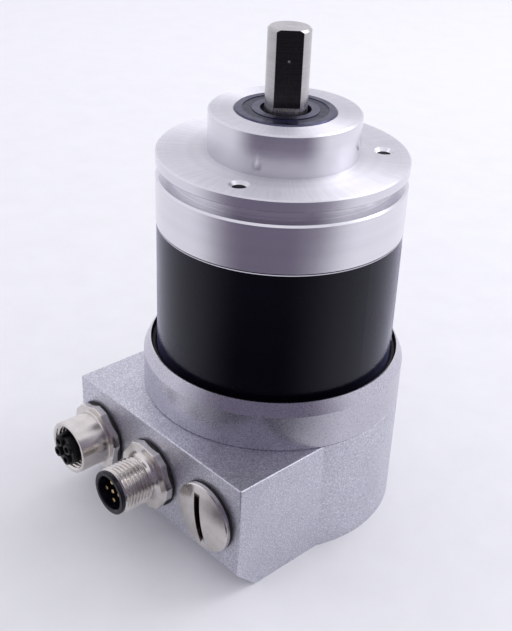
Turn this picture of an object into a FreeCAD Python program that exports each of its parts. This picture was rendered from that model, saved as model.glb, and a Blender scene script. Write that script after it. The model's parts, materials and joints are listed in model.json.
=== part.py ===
import FreeCAD, Part
import math
import os
import Sketcher
from FreeCAD import Vector

# Absolute rotary encoder with a three-port bus cover.
# Frame: +Z along the shaft, origin on the shaft axis at the cover's underside,
# connectors facing -Y. Units are millimetres and degrees.

SIZES = [
    # bus cover casting
    ("block_height", 30.7),
    ("block_half_width", 31.1),
    ("front_offset", 38.56),
    ("rear_radius", 33.3),
    ("side_wall", 3.2),
    ("front_wall", 5.0),
    ("floor_thick", 3.0),
    ("roof_thick", 3.2),
    ("mouth_radius", 28.6),
    ("nose_chamfer", 5.9),
    ("nose_round", 1.6),
    ("edge_break", 0.35),
    ("post_radius", 2.9),
    ("post_offset_x", 24.4),
    ("post_offset_y", 6.0),
    ("post_root", 1.0),
    ("post_top", 32.2),
    ("cover_screw_radius", 1.5),
    ("cover_screw_head_radius", 2.75),
    ("cover_screw_head_height", 3.0),
    ("cover_screw_sink", 3.6),
    ("cover_screw_tip", 35.0),
    # turned ring above the block
    ("ring_top", 43.35),
    ("ring_shoulder", 40.2),
    ("ring_rim_radius", 31.8),
    ("ring_seal_radius", 31.5),
    ("ring_seal_floor", 40.1),
    ("ring_bore_radius", 29.98),
    ("cover_seal_major", 30.7),
    ("cover_seal_minor", 0.78),
    ("cover_seal_level", 41.45),
    # housing tube and label
    ("tube_radius", 29.9),
    ("tube_inner_radius", 28.4),
    ("tube_bottom", 31.5),
    ("tube_top", 75.86),
    ("label_thick", 0.12),
    ("label_bottom", 46.0),
    ("label_top", 72.5),
    ("label_start_angle", 36.0),
    ("label_span_angle", 96.0),
    # flange
    ("collar_top", 103.4),
    ("collar_radius", 18.0),
    ("collar_edge", 0.4),
    ("disc_top", 93.4),
    ("disc_bottom", 90.7),
    ("flange_radius", 30.02),
    ("flange_edge", 0.45),
    ("groove_radius", 27.0),
    ("groove_bottom", 87.6),
    ("spigot_radius", 28.38),
    ("spigot_inner_radius", 26.6),
    ("spigot_bottom", 69.0),
    ("spigot_groove_radius", 27.3),
    ("spigot_groove_bottom", 71.0),
    ("spigot_groove_top", 73.0),
    ("web_bottom", 74.5),
    ("hub_radius", 14.4),
    ("hub_bottom", 73.2),
    ("bolt_circle_radius", 24.0),
    ("bolt_hole_radius", 1.65),
    ("bolt_hole_depth", 9.0),
    ("bolt_sink_radius", 2.4),
    ("bolt_sink_depth", 0.75),
    ("bolt_first_angle", -67.5),
    ("flange_oring_major", 27.92),
    ("flange_oring_minor", 0.42),
    # ball bearings, two alike
    ("bearing_radius", 12.0),
    ("bearing_bore_radius", 6.0),
    ("bearing_width", 6.0),
    ("front_bearing_bottom", 97.7),
    ("rear_bearing_bottom", 78.0),
    ("bearing_land_radius", 10.4),
    ("inner_ring_radius", 7.9),
    ("outer_ring_inner_radius", 10.1),
    ("ball_pitch_radius", 9.0),
    ("ball_radius", 1.5875),
    ("race_radius", 1.63),
    ("pocket_radius", 1.68),
    ("cage_inner_radius", 8.3),
    ("cage_outer_radius", 9.7),
    ("cage_half_height", 2.05),
    ("seal_thick", 0.4),
    ("seal_inset", 0.15),
    ("seal_inner_radius", 7.95),
    ("outer_ring_edge", 0.3),
    ("collar_mouth_radius", 12.15),
    ("washer_bottom", 77.2),
    ("washer_outer_radius", 11.8),
    ("washer_inner_radius", 10.3),
    ("snap_ring_bottom", 76.0),
    ("snap_ring_outer_radius", 12.7),
    ("snap_ring_inner_radius", 10.4),
    # shaft
    ("shaft_top", 122.5),
    ("shaft_radius", 5.0),
    ("shaft_edge", 0.5),
    ("seat_top", 101.3),
    ("shoulder_radius", 7.3),
    ("shoulder_bottom", 75.0),
    ("stem_radius", 4.0),
    ("stem_bottom", 58.0),
    ("tail_radius", 1.5),
    ("tail_bottom", 50.4),
    ("flat_distance", 4.0),
    ("flat_bottom", 104.5),
    ("flat_ramp", 0.4),
    ("flat_angle", -42.0),
    ("sleeve_radius", 7.4),
    # optical scanning
    ("hub_ring_radius", 9.0),
    ("hub_ring_top", 70.5),
    ("disc_hub_bottom", 66.3),
    ("code_disc_radius", 21.5),
    ("code_disc_bottom", 65.3),
    ("led_distance", 18.6),
    ("led_width", 8.0),
    ("led_depth", 8.0),
    ("led_bottom", 67.6),
    ("board_radius", 27.4),
    ("board_thick", 1.6),
    ("sensor_board_bottom", 60.0),
    ("board_hole_radius", 5.2),
    ("sensor_length", 8.0),
    ("sensor_width", 6.0),
    ("sensor_height", 1.5),
    # screws and sleeves that hold the board stack
    ("stack_distance", 24.6),
    ("stack_screw_radius", 1.0),
    ("stack_head_radius", 1.9),
    ("stack_head_height", 1.6),
    ("stack_screw_top", 79.0),
    ("sleeve_outer_radius", 1.9),
    # turns-counting gear train
    ("gear_module", 0.4),
    ("gear_distance", 12.0),
    ("wheel_face", 1.8),
    ("pinion_face", 2.2),
    ("layer_one", 51.2),
    ("layer_two", 48.9),
    ("layer_three", 46.6),
    ("magnet_bottom", 44.7),
    ("magnet_height", 1.6),
    ("magnet_radius", 3.4),
    ("axle_radius", 0.75),
    ("axle_bore_radius", 0.81),
    ("upper_plate_bottom", 54.0),
    ("lower_plate_bottom", 42.0),
    ("plate_thick", 2.0),
    ("plate_radius", 27.4),
    ("gear_board_bottom", 38.6),
    ("hall_size", 4.0),
    ("hall_height", 1.2),
    # bulkhead and interface board
    ("bulkhead_bottom", 32.2),
    ("bulkhead_thick", 3.0),
    ("header_length", 22.0),
    ("header_width", 6.6),
    ("header_bottom", 28.4),
    ("header_height", 10.2),
    ("iface_bottom", 7.4),
    ("iface_length", 50.0),
    ("iface_half_width", 20.2),
    ("iface_middle_y", -6.0),
    ("stud_radius", 2.6),
    ("socket_offset_y", 3.0),
    ("switch_size", 10.0),
    ("switch_height", 5.2),
    ("switch_distance_x", 8.0),
    ("switch_offset_y", 13.6),
    ("dial_radius", 3.0),
    ("dial_bore_radius", 3.08),
    ("dial_height", 2.2),
    ("slider_body_length", 10.0),
    ("slider_body_width", 5.4),
    ("slider_body_height", 3.8),
    ("slider_travel", 2.4),
    ("slider_offset_y", -9.0),
    # bulkhead sockets on the front face
    ("port_level", 17.3),
    ("port_pitch", 21.3),
    ("port_middle_x", -1.3),
    ("gasket_thick", 0.8),
    ("gasket_radius", 8.8),
    ("hex_flat_radius", 8.4),
    ("hex_cut_radius", 8.78),
    ("hex_edge_radius", 8.92),
    ("hex_front", 2.6),
    ("stub_radius", 7.0),
    ("female_mouth", 10.5),
    ("female_radius", 6.85),
    ("female_thread_radius", 5.45),
    ("female_thread_depth", 8.0),
    ("female_insert_radius", 4.2),
    ("female_insert_front", 12.4),
    ("male_thread_front", 12.3),
    ("male_thread_radius", 6.0),
    ("male_thread_end", 4.7),
    ("male_neck_radius", 5.55),
    ("male_rim_front", 13.24),
    ("male_rim_radius", 5.62),
    ("male_cup_radius", 4.35),
    ("insert_body_radius", 4.9),
    ("insert_back", 12.5),
    ("male_cup_floor", 4.5),
    ("contact_pitch_radius", 2.5),
    ("contact_radius", 0.5),
    ("contact_back", 15.5),
    ("female_contact_front", 10.6),
    ("male_pin_front", 12.0),
    ("plug_radius", 8.85),
    ("plug_rim", 1.9),
    ("plug_front", 3.2),
    ("plug_edge", 0.25),
    ("plug_dome_radius", 29.1),
    ("slot_width", 2.0),
    ("slot_depth", 1.9),
    ("slot_saw_radius", 23.0),
]

BALL_COUNT = 11
WHEEL_TEETH = 48
PINION_TEETH = 12
GEAR_ANGLES = (0.0, 60.0, 120.0)
STACK_ANGLES = (30.0, 150.0, 270.0)
FEMALE_CONTACT_ANGLE = 33.6
MALE_CONTACT_ANGLE = 8.0
FEMALE_HEX_ANGLE = 17.0
MALE_HEX_ANGLE = 54.0
PLUG_SLOT_ANGLE = 11.0

doc = FreeCAD.newDocument("RotaryEncoder")
sheet = doc.addObject("Spreadsheet::Sheet", "sizes")
NUMBERS = {}
NODES = []

for row, (alias, number) in enumerate(SIZES, start=1):
    sheet.set("A%d" % row, alias)
    sheet.set("B%d" % row, str(number))
    sheet.setAlias("B%d" % row, alias)
    NUMBERS[alias] = number
doc.recompute()


def number_of(text):
    """Value of a sum of size names and numbers, such as 'disc_top - 0.5'."""
    total = 0.0
    sign = 1.0
    for word in text.split():
        if word == "+":
            sign = 1.0
        elif word == "-":
            sign = -1.0
        else:
            total += sign * (NUMBERS[word] if word in NUMBERS else float(word))
    return total


def formula(text):
    """The same sum written as a spreadsheet expression."""
    words = []
    for word in text.split():
        words.append("sizes." + word if word in NUMBERS else word)
    return " ".join(words)


def bind(item, prop, text):
    item.setExpression(prop, formula(text))


def node(item, label):
    """Mark an object as a finished piece of the assembly."""
    item.Label = label
    NODES.append(item)
    return item


def place(item, x="0", y="0", z="0", axis=None, angle=0.0):
    """Position an object by size sums, turned by angle about axis."""
    turn = FreeCAD.Rotation(axis or Vector(0, 0, 1), angle)
    base = Vector(number_of(x), number_of(y), number_of(z))
    item.Placement = FreeCAD.Placement(base, turn)
    for letter, text in (("x", x), ("y", y), ("z", z)):
        if text != "0":
            bind(item, "Placement.Base." + letter, text)
    return item


def on_front(item, x):
    """Stand a piece built along local +Z on the cover's front face."""
    return place(item, x, "0 - front_offset", "port_level", Vector(1, 0, 0), 90.0)


def cylinder(name, radius, bottom, top, x="0", y="0"):
    item = doc.addObject("Part::Cylinder", name)
    bind(item, "Radius", radius)
    item.setExpression("Height", "%s - (%s)" % (formula(top), formula(bottom)))
    return place(item, x, y, bottom)


def cylinder_high(name, radius, bottom, height, x="0", y="0"):
    item = doc.addObject("Part::Cylinder", name)
    bind(item, "Radius", radius)
    bind(item, "Height", height)
    return place(item, x, y, bottom)


def polar_cylinder(name, radius, bottom, height, distance, angle):
    """Upright cylinder at a distance and angle from the shaft axis."""
    item = doc.addObject("Part::Cylinder", name)
    bind(item, "Radius", radius)
    bind(item, "Height", height)
    polar_place(item, distance, angle, bottom)
    return item


def polar_place(item, distance, angle, level):
    reach = number_of(distance)
    turn = math.radians(angle)
    base = Vector(reach * math.cos(turn), reach * math.sin(turn), number_of(level))
    item.Placement = FreeCAD.Placement(base, FreeCAD.Rotation())
    item.setExpression("Placement.Base.x", "(%s) * cos(%g deg)" % (formula(distance), angle))
    item.setExpression("Placement.Base.y", "(%s) * sin(%g deg)" % (formula(distance), angle))
    bind(item, "Placement.Base.z", level)


def block(name, length, width, height, x, y, z):
    """Box centred on x, y with its underside at z."""
    item = doc.addObject("Part::Box", name)
    bind(item, "Length", length)
    bind(item, "Width", width)
    bind(item, "Height", height)
    base = Vector(
        number_of(x) - number_of(length) / 2,
        number_of(y) - number_of(width) / 2,
        number_of(z),
    )
    item.Placement = FreeCAD.Placement(base, FreeCAD.Rotation())
    item.setExpression("Placement.Base.x", "%s - (%s) / 2" % (formula(x), formula(length)))
    item.setExpression("Placement.Base.y", "%s - (%s) / 2" % (formula(y), formula(width)))
    bind(item, "Placement.Base.z", z)
    return item


def cut(name, base, tool):
    item = doc.addObject("Part::Cut", name)
    item.Base = base
    item.Tool = tool
    return item


def common(name, base, tool):
    item = doc.addObject("Part::Common", name)
    item.Base = base
    item.Tool = tool
    return item


def fuse(name, items):
    item = doc.addObject("Part::MultiFuse", name)
    item.Shapes = items
    return item


def group(name, items):
    """Several separate solids kept as one piece."""
    item = doc.addObject("Part::Compound", name)
    item.Links = items
    return item


def plane_of(body, role):
    for feature in body.Origin.OriginFeatures:
        if feature.Role == role:
            return feature
    raise ValueError(role)


def pin_point(sketch, line, across, up):
    """Fix a line's start point by two size sums, on the sketch axes."""
    for kind, text, axis_line in (("DistanceX", across, -2), ("DistanceY", up, -1)):
        amount = number_of(text)
        if amount == 0.0:
            sketch.addConstraint(Sketcher.Constraint("PointOnObject", line, 1, axis_line))
        else:
            index = sketch.addConstraint(Sketcher.Constraint(kind, -1, 1, line, 1, amount))
            sketch.setExpression("Constraints[%d]" % index, formula(text))


def outline(body, name, role, points):
    """Closed polygon sketch through points given as pairs of size sums."""
    sketch = body.newObject("Sketcher::SketchObject", name)
    sketch.AttachmentSupport = (plane_of(body, role), [""])
    sketch.MapMode = "FlatFace"
    corners = [Vector(number_of(across), number_of(up), 0) for across, up in points]
    for index, corner in enumerate(corners):
        following = corners[(index + 1) % len(corners)]
        sketch.addGeometry(Part.LineSegment(corner, following), False)
    for index in range(len(corners)):
        following = (index + 1) % len(corners)
        sketch.addConstraint(Sketcher.Constraint("Coincident", index, 2, following, 1))
    for index, (across, up) in enumerate(points):
        pin_point(sketch, index, across, up)
    return sketch


def turned(name, points):
    """Body of revolution about Z from (radius, height) pairs."""
    body = doc.addObject("PartDesign::Body", name)
    sketch = outline(body, name + "_profile", "XZ_Plane", points)
    spin = body.newObject("PartDesign::Revolution", name + "_turned")
    spin.Profile = sketch
    spin.ReferenceAxis = (sketch, ["V_Axis"])
    spin.Angle = 360.0
    spin.Refine = False
    sketch.Visibility = False
    body.Tip = spin
    return body


def ring(name, outer, inner, bottom, top):
    """Plain washer or sleeve."""
    points = [(inner, bottom), (outer, bottom), (outer, top), (inner, top)]
    return turned(name, points)


def torus(name, major, minor, level):
    item = doc.addObject("Part::Torus", name)
    bind(item, "Radius1", major)
    bind(item, "Radius2", minor)
    return place(item, z=level)


def hexagon(name, flat_radius, bottom, height, angle):
    """Hexagonal prism across flats of twice flat_radius."""
    item = doc.addObject("Part::Prism", name)
    item.Polygon = 6
    item.setExpression("Circumradius", "(%s) / cos(30 deg)" % formula(flat_radius))
    bind(item, "Height", height)
    return place(item, z=bottom, angle=angle)


# ---------------------------------------------------------------- flange

def make_flange():
    profile = [
        ("bearing_radius", "hub_bottom"),
        ("hub_radius", "hub_bottom"),
        ("hub_radius", "web_bottom"),
        ("spigot_inner_radius", "web_bottom"),
        ("spigot_inner_radius", "spigot_bottom"),
        ("spigot_radius", "spigot_bottom"),
        ("spigot_radius", "spigot_groove_bottom"),
        ("spigot_groove_radius", "spigot_groove_bottom"),
        ("spigot_groove_radius", "spigot_groove_top"),
        ("spigot_radius", "spigot_groove_top"),
        ("spigot_radius", "tube_top"),
        ("flange_radius - 0.2", "tube_top"),
        ("flange_radius", "tube_top + 0.2"),
        ("flange_radius", "groove_bottom - flange_edge"),
        ("flange_radius - flange_edge", "groove_bottom"),
        ("groove_radius", "groove_bottom"),
        ("groove_radius", "disc_bottom"),
        ("flange_radius - 0.2", "disc_bottom"),
        ("flange_radius", "disc_bottom + 0.2"),
        ("flange_radius", "disc_top - 0.3"),
        ("flange_radius - 0.3", "disc_top"),
        ("collar_radius", "disc_top"),
        ("collar_radius", "collar_top - collar_edge"),
        ("collar_radius - collar_edge", "collar_top"),
        ("collar_mouth_radius", "collar_top"),
        ("bearing_radius", "collar_top - 0.15"),
        ("bearing_radius", "front_bearing_bottom"),
        ("bearing_land_radius", "front_bearing_bottom"),
        ("bearing_land_radius", "rear_bearing_bottom + bearing_width"),
        ("bearing_radius", "rear_bearing_bottom + bearing_width"),
        ("bearing_radius", "washer_bottom"),
        ("snap_ring_outer_radius", "washer_bottom"),
        ("snap_ring_outer_radius", "snap_ring_bottom"),
        ("bearing_radius", "snap_ring_bottom"),
    ]
    body = turned("flange_blank", profile)
    tools = []
    for index in range(3):
        angle = NUMBERS["bolt_first_angle"] + 120.0 * index
        hole = polar_cylinder(
            "bolt_hole_%d" % index,
            "bolt_hole_radius",
            "disc_top - bolt_hole_depth",
            "bolt_hole_depth + 1",
            "bolt_circle_radius",
            angle,
        )
        sink = doc.addObject("Part::Cone", "bolt_sink_%d" % index)
        bind(sink, "Radius1", "bolt_hole_radius")
        bind(sink, "Radius2", "bolt_sink_radius")
        bind(sink, "Height", "bolt_sink_depth")
        polar_place(sink, "bolt_circle_radius", angle, "disc_top - bolt_sink_depth")
        tools += [hole, sink]
    for index, angle in enumerate(STACK_ANGLES):
        tools.append(
            polar_cylinder(
                "stack_thread_%d" % index,
                "stack_screw_radius",
                "web_bottom - 1",
                "stack_screw_top - web_bottom + 2",
                "stack_distance",
                angle,
            )
        )
    node(cut("flange_drilled", body, fuse("flange_holes", tools)), "flange")


# ---------------------------------------------------------------- bearings

def ball_track(name, level):
    """Ring of circular section for a ball track, its seams clear of both races."""
    body = doc.addObject("PartDesign::Body", name)
    sketch = body.newObject("Sketcher::SketchObject", name + "_section")
    sketch.AttachmentSupport = (plane_of(body, "XZ_Plane"), [""])
    sketch.MapMode = "FlatFace"
    pitch = NUMBERS["ball_pitch_radius"]
    height = number_of(level)
    for start in (-90, 90):
        circle = Part.Circle(Vector(pitch, height, 0), Vector(0, 0, 1), NUMBERS["race_radius"])
        half = Part.ArcOfCircle(circle, math.radians(start), math.radians(start + 180))
        sketch.addGeometry(half, False)
    sketch.addConstraint(Sketcher.Constraint("Coincident", 0, 2, 1, 1))
    sketch.addConstraint(Sketcher.Constraint("Coincident", 1, 2, 0, 1))
    sketch.addConstraint(Sketcher.Constraint("Coincident", 0, 3, 1, 3))
    sketch.addConstraint(Sketcher.Constraint("Vertical", 0, 1, 0, 2))
    drives = [
        (Sketcher.Constraint("DistanceX", -1, 1, 0, 3, pitch), "ball_pitch_radius"),
        (Sketcher.Constraint("DistanceY", -1, 1, 0, 3, height), level),
        (Sketcher.Constraint("Radius", 0, NUMBERS["race_radius"]), "race_radius"),
    ]
    for constraint, text in drives:
        index = sketch.addConstraint(constraint)
        sketch.setExpression("Constraints[%d]" % index, formula(text))
    spin = body.newObject("PartDesign::Revolution", name + "_turned")
    spin.Profile = sketch
    spin.ReferenceAxis = (sketch, ["V_Axis"])
    spin.Angle = 360.0
    sketch.Visibility = False
    body.Tip = spin
    return body


def ball_ring(name, radius, level):
    """One sphere per ball, centred on the bearing's pitch circle."""
    balls = []
    for index in range(BALL_COUNT):
        ball = doc.addObject("Part::Sphere", "%s_%d" % (name, index))
        bind(ball, "Radius", radius)
        polar_place(ball, "ball_pitch_radius", 360.0 * index / BALL_COUNT, level)
        balls.append(ball)
    return balls


def pocket_ring(name, level):
    """Radial drillings through the cage, one per ball."""
    pockets = []
    for index in range(BALL_COUNT):
        angle = 360.0 * index / BALL_COUNT
        pocket = doc.addObject("Part::Cylinder", "%s_%d" % (name, index))
        bind(pocket, "Radius", "pocket_radius")
        bind(pocket, "Height", "cage_outer_radius - cage_inner_radius + 2")
        polar_place(pocket, "cage_inner_radius - 1", angle, level)
        about = FreeCAD.Rotation(Vector(0, 0, 1), angle)
        pocket.Placement.Rotation = about * FreeCAD.Rotation(Vector(0, 1, 0), 90)
        pockets.append(pocket)
    return pockets


def make_bearing(side):
    bottom = side + "_bearing_bottom"
    top = bottom + " + bearing_width"
    middle = bottom + " + 3"
    outer = turned(
        side + "_outer_blank",
        [
            ("outer_ring_inner_radius", bottom),
            ("bearing_radius", bottom),
            ("bearing_radius", top + " - outer_ring_edge"),
            ("bearing_radius - outer_ring_edge", top),
            ("outer_ring_inner_radius", top),
        ],
    )
    outer_race = ball_track(side + "_outer_race", middle)
    node(cut(side + "_outer_cut", outer, outer_race), side + "_outer_ring")
    inner = ring(side + "_inner_blank", "inner_ring_radius", "bearing_bore_radius", bottom, top)
    inner_race = ball_track(side + "_inner_race", middle)
    node(cut(side + "_inner_cut", inner, inner_race), side + "_inner_ring")
    node(group(side + "_ball_group", ball_ring(side + "_ball", "ball_radius", middle)), side + "_balls")
    cage = ring(
        side + "_cage_blank",
        "cage_outer_radius",
        "cage_inner_radius",
        middle + " - cage_half_height",
        middle + " + cage_half_height",
    )
    pockets = fuse(side + "_pockets", pocket_ring(side + "_pocket", middle))
    node(cut(side + "_cage_cut", cage, pockets), side + "_cage")
    shields = []
    for face, low in (("lower", bottom + " + seal_inset"), ("upper", top + " - seal_inset - seal_thick")):
        shields.append(
            ring(
                "%s_%s_shield" % (side, face),
                "outer_ring_inner_radius",
                "seal_inner_radius",
                low,
                low + " + seal_thick",
            )
        )
    node(group(side + "_shields", shields), side + "_seals")


def make_bearing_retainers():
    node(
        ring(
            "spring_washer",
            "washer_outer_radius",
            "washer_inner_radius",
            "washer_bottom",
            "rear_bearing_bottom",
        ),
        "wave_washer",
    )
    body = ring(
        "snap_ring_blank",
        "snap_ring_outer_radius",
        "snap_ring_inner_radius",
        "snap_ring_bottom",
        "washer_bottom",
    )
    gap = block("snap_ring_gap", "6", "5", "3", "0", "0 - 11.5", "snap_ring_bottom - 1")
    opened = cut("snap_ring_open", body, gap)
    ears = []
    for sign in (-1, 1):
        ear = block(
            "snap_ring_ear_%d" % (sign + 1),
            "2.4",
            "3",
            "washer_bottom - snap_ring_bottom",
            "%g" % (sign * 4.2),
            "0 - 9.7",
            "snap_ring_bottom",
        )
        eye = cylinder_high(
            "snap_ring_eye_%d" % (sign + 1),
            "0.6",
            "snap_ring_bottom - 1",
            "4",
            "%g" % (sign * 4.2),
            "0 - 9.3",
        )
        ears.append(cut("snap_ring_lug_%d" % (sign + 1), ear, eye))
    node(fuse("snap_ring_whole", [opened] + ears), "retaining_ring")
    node(
        ring(
            "spacer",
            "sleeve_radius",
            "bearing_bore_radius",
            "rear_bearing_bottom + bearing_width",
            "front_bearing_bottom",
        ),
        "inner_spacer",
    )


# ---------------------------------------------------------------- shaft

def make_shaft():
    profile = [
        ("0", "tail_bottom"),
        ("tail_radius", "tail_bottom"),
        ("tail_radius", "stem_bottom"),
        ("stem_radius", "stem_bottom"),
        ("stem_radius", "shoulder_bottom"),
        ("shoulder_radius", "shoulder_bottom"),
        ("shoulder_radius", "rear_bearing_bottom"),
        ("bearing_bore_radius", "rear_bearing_bottom"),
        ("bearing_bore_radius", "seat_top"),
        ("shaft_radius", "seat_top"),
        ("shaft_radius", "flat_bottom + flat_ramp"),
        ("shaft_radius", "shaft_top - shaft_edge"),
        ("shaft_radius - shaft_edge", "shaft_top"),
        ("0", "shaft_top"),
    ]
    body = turned("shaft_blank", profile)
    waste = doc.addObject("Part::Wedge", "flat_waste")
    reach = 4
    side = 6
    waste.Xmin = waste.X2min = -side
    waste.Xmax = waste.X2max = side
    waste.Ymin = 0
    waste.Ymax = reach
    bind(waste, "Zmin", "flat_ramp")
    rise = "sizes.flat_ramp * (1 - %d / (sizes.shaft_radius - sizes.flat_distance))" % reach
    waste.setExpression("Z2min", rise)
    bind(waste, "Zmax", "shaft_top - flat_bottom + 1")
    bind(waste, "Z2max", "shaft_top - flat_bottom + 1")
    turn = math.radians(NUMBERS["flat_angle"])
    base = Vector(math.cos(turn), math.sin(turn), 0) * NUMBERS["flat_distance"]
    base.z = NUMBERS["flat_bottom"]
    facing = FreeCAD.Rotation(Vector(0, 0, 1), NUMBERS["flat_angle"] - 90.0)
    waste.Placement = FreeCAD.Placement(base, facing)
    waste.setExpression("Placement.Base.x", "sizes.flat_distance * cos(sizes.flat_angle * 1 deg)")
    waste.setExpression("Placement.Base.y", "sizes.flat_distance * sin(sizes.flat_angle * 1 deg)")
    bind(waste, "Placement.Base.z", "flat_bottom")
    flatted = cut("shaft_flatted", body, waste)
    flatted.Refine = False
    node(flatted, "shaft")


# ---------------------------------------------------------------- scanning

def make_scanning():
    node(
        ring("hub_turned", "hub_ring_radius", "stem_radius", "disc_hub_bottom", "hub_ring_top"),
        "disc_hub",
    )
    node(
        ring("disc_glass", "code_disc_radius", "stem_radius", "code_disc_bottom", "disc_hub_bottom"),
        "code_disc",
    )
    lamp = block(
        "led_block",
        "led_width",
        "led_depth",
        "web_bottom - led_bottom",
        "led_distance",
        "0",
        "led_bottom",
    )
    eye = cylinder_high("led_eye", "2", "led_bottom - 0.5", "2", "led_distance")
    node(cut("led_bored", lamp, eye), "led_holder")
    node(
        block(
            "sensor_block",
            "sensor_width",
            "sensor_length",
            "sensor_height",
            "led_distance",
            "0",
            "sensor_board_bottom + board_thick",
        ),
        "optical_sensor",
    )
    make_disc_plate(
        "sensor_board", "board_radius", "sensor_board_bottom", "board_thick", "board_hole_radius",
    )


def make_disc_plate(label, radius, bottom, thick, hole):
    """Round plate with a centre hole and the three stack screw holes."""
    plate = ring(label + "_blank", radius, hole, bottom, bottom + " + " + thick)
    node(cut(label + "_drilled", plate, stack_holes(label, bottom, thick)), label)


def stack_holes(label, bottom, thick):
    holes = []
    for index, angle in enumerate(STACK_ANGLES):
        holes.append(
            polar_cylinder(
                "%s_hole_%d" % (label, index),
                "stack_screw_radius + 0.1",
                bottom + " - 1",
                thick + " + 2",
                "stack_distance",
                angle,
            )
        )
    return fuse(label + "_holes", holes)


def make_stack():
    """Long screws up into the flange, and the sleeves between the plates."""
    levels = [
        ("sensor_board_bottom + board_thick", "web_bottom"),
        ("upper_plate_bottom + plate_thick", "sensor_board_bottom"),
        ("lower_plate_bottom + plate_thick", "upper_plate_bottom"),
        ("gear_board_bottom + board_thick", "lower_plate_bottom"),
    ]
    screws = []
    sleeves = []
    for index, angle in enumerate(STACK_ANGLES):
        head = polar_cylinder(
            "stack_head_%d" % index,
            "stack_head_radius",
            "gear_board_bottom - stack_head_height",
            "stack_head_height",
            "stack_distance",
            angle,
        )
        shank = polar_cylinder(
            "stack_shank_%d" % index,
            "stack_screw_radius",
            "gear_board_bottom",
            "stack_screw_top - gear_board_bottom",
            "stack_distance",
            angle,
        )
        screws.append(fuse("stack_screw_%d" % index, [head, shank]))
        for step, (bottom, top) in enumerate(levels):
            height = "%s - %s" % (top, bottom.replace(" + ", " - "))
            outer = polar_cylinder(
                "sleeve_outer_%d_%d" % (index, step),
                "sleeve_outer_radius",
                bottom,
                height,
                "stack_distance",
                angle,
            )
            inner = polar_cylinder(
                "sleeve_inner_%d_%d" % (index, step),
                "stack_screw_radius + 0.1",
                bottom + " - 1",
                height + " + 2",
                "stack_distance",
                angle,
            )
            sleeves.append(cut("sleeve_%d_%d" % (index, step), outer, inner))
    node(group("stack_screw_group", screws), "stack_screws")
    node(group("stack_sleeve_group", sleeves), "stack_sleeves")


# ---------------------------------------------------------------- gear train

def tooth_outline(teeth, thin):
    """Corner points of an involute spur gear, teeth thinned for backlash."""
    module = NUMBERS["gear_module"]
    pitch = module * teeth / 2.0
    base = pitch * math.cos(math.radians(20.0))
    tip = pitch + 0.9 * module
    root = pitch - 1.2 * module
    spread = math.tan(math.radians(20.0)) - math.radians(20.0)
    half = math.pi / (2 * teeth) - thin / (2 * pitch)
    flank = []
    start = max(base, root)
    for step in range(5):
        radius = start + (tip - start) * step / 4.0
        roll = math.sqrt(max((radius / base) ** 2 - 1.0, 0.0))
        flank.append((radius, half + spread - (roll - math.atan(roll))))
    points = []
    for tooth in range(teeth):
        centre = 2 * math.pi * tooth / teeth
        if root < base:
            points.append((root, centre - flank[0][1]))
        points += [(radius, centre - angle) for radius, angle in flank]
        points += [(radius, centre + angle) for radius, angle in reversed(flank)]
        if root < base:
            points.append((root, centre + flank[0][1]))
    return points


def gear_solid(teeth, thin, phase, bottom, height):
    corners = []
    for radius, angle in tooth_outline(teeth, thin):
        turn = angle + math.radians(phase)
        corners.append(Vector(radius * math.cos(turn), radius * math.sin(turn), bottom))
    corners.append(corners[0])
    face = Part.Face(Part.makePolygon(corners))
    return face.extrude(Vector(0, 0, height))


def gear_piece(name, label, solids, bore, centre):
    """Gear built in code from the sheet's sizes, then placed on its axle."""
    whole = solids[0]
    for solid in solids[1:]:
        whole = whole.fuse(solid)
    whole = whole.cut(Part.makeCylinder(bore, 80.0, Vector(0, 0, 0)))
    item = doc.addObject("Part::Feature", name)
    item.Shape = whole.removeSplitter()
    item.Placement = FreeCAD.Placement(centre, FreeCAD.Rotation())
    node(item, label)


def gear_centre(index):
    turn = math.radians(GEAR_ANGLES[index])
    reach = NUMBERS["gear_distance"]
    return Vector(reach * math.cos(turn), reach * math.sin(turn), 0)


def make_gears():
    wheel_face = NUMBERS["wheel_face"]
    pinion_face = NUMBERS["pinion_face"]
    magnet_top = NUMBERS["magnet_bottom"] + NUMBERS["magnet_height"]
    layers = [NUMBERS["layer_one"], NUMBERS["layer_two"], NUMBERS["layer_three"]]
    thin = 0.06
    pinion = gear_solid(PINION_TEETH, thin, 0.0, layers[0] - 0.2, pinion_face)
    gear_piece("drive_gear", "drive_pinion", [pinion], NUMBERS["tail_radius"], Vector(0, 0, 0))
    previous = Vector(0, 0, 0)
    driver_phase = 0.0
    for index in range(3):
        centre = gear_centre(index)
        toward = math.degrees(math.atan2(previous.y - centre.y, previous.x - centre.x))
        away = toward + 180.0
        driver_gap = (away - driver_phase) * PINION_TEETH / 360.0
        phase = toward + (0.5 + driver_gap) * 360.0 / WHEEL_TEETH
        solids = [gear_solid(WHEEL_TEETH, thin, phase, layers[index], wheel_face)]
        if index < 2:
            low = layers[index + 1] - 0.2
            solids.append(gear_solid(PINION_TEETH, thin, phase, low, pinion_face + 0.3))
        solids.append(Part.makeCylinder(1.7, layers[index] - magnet_top + 0.5, Vector(0, 0, magnet_top)))
        gear_piece(
            "train_gear_%d" % (index + 1),
            "gear_%d" % (index + 1),
            solids,
            NUMBERS["axle_bore_radius"],
            centre,
        )
        previous = centre
        driver_phase = phase


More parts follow.
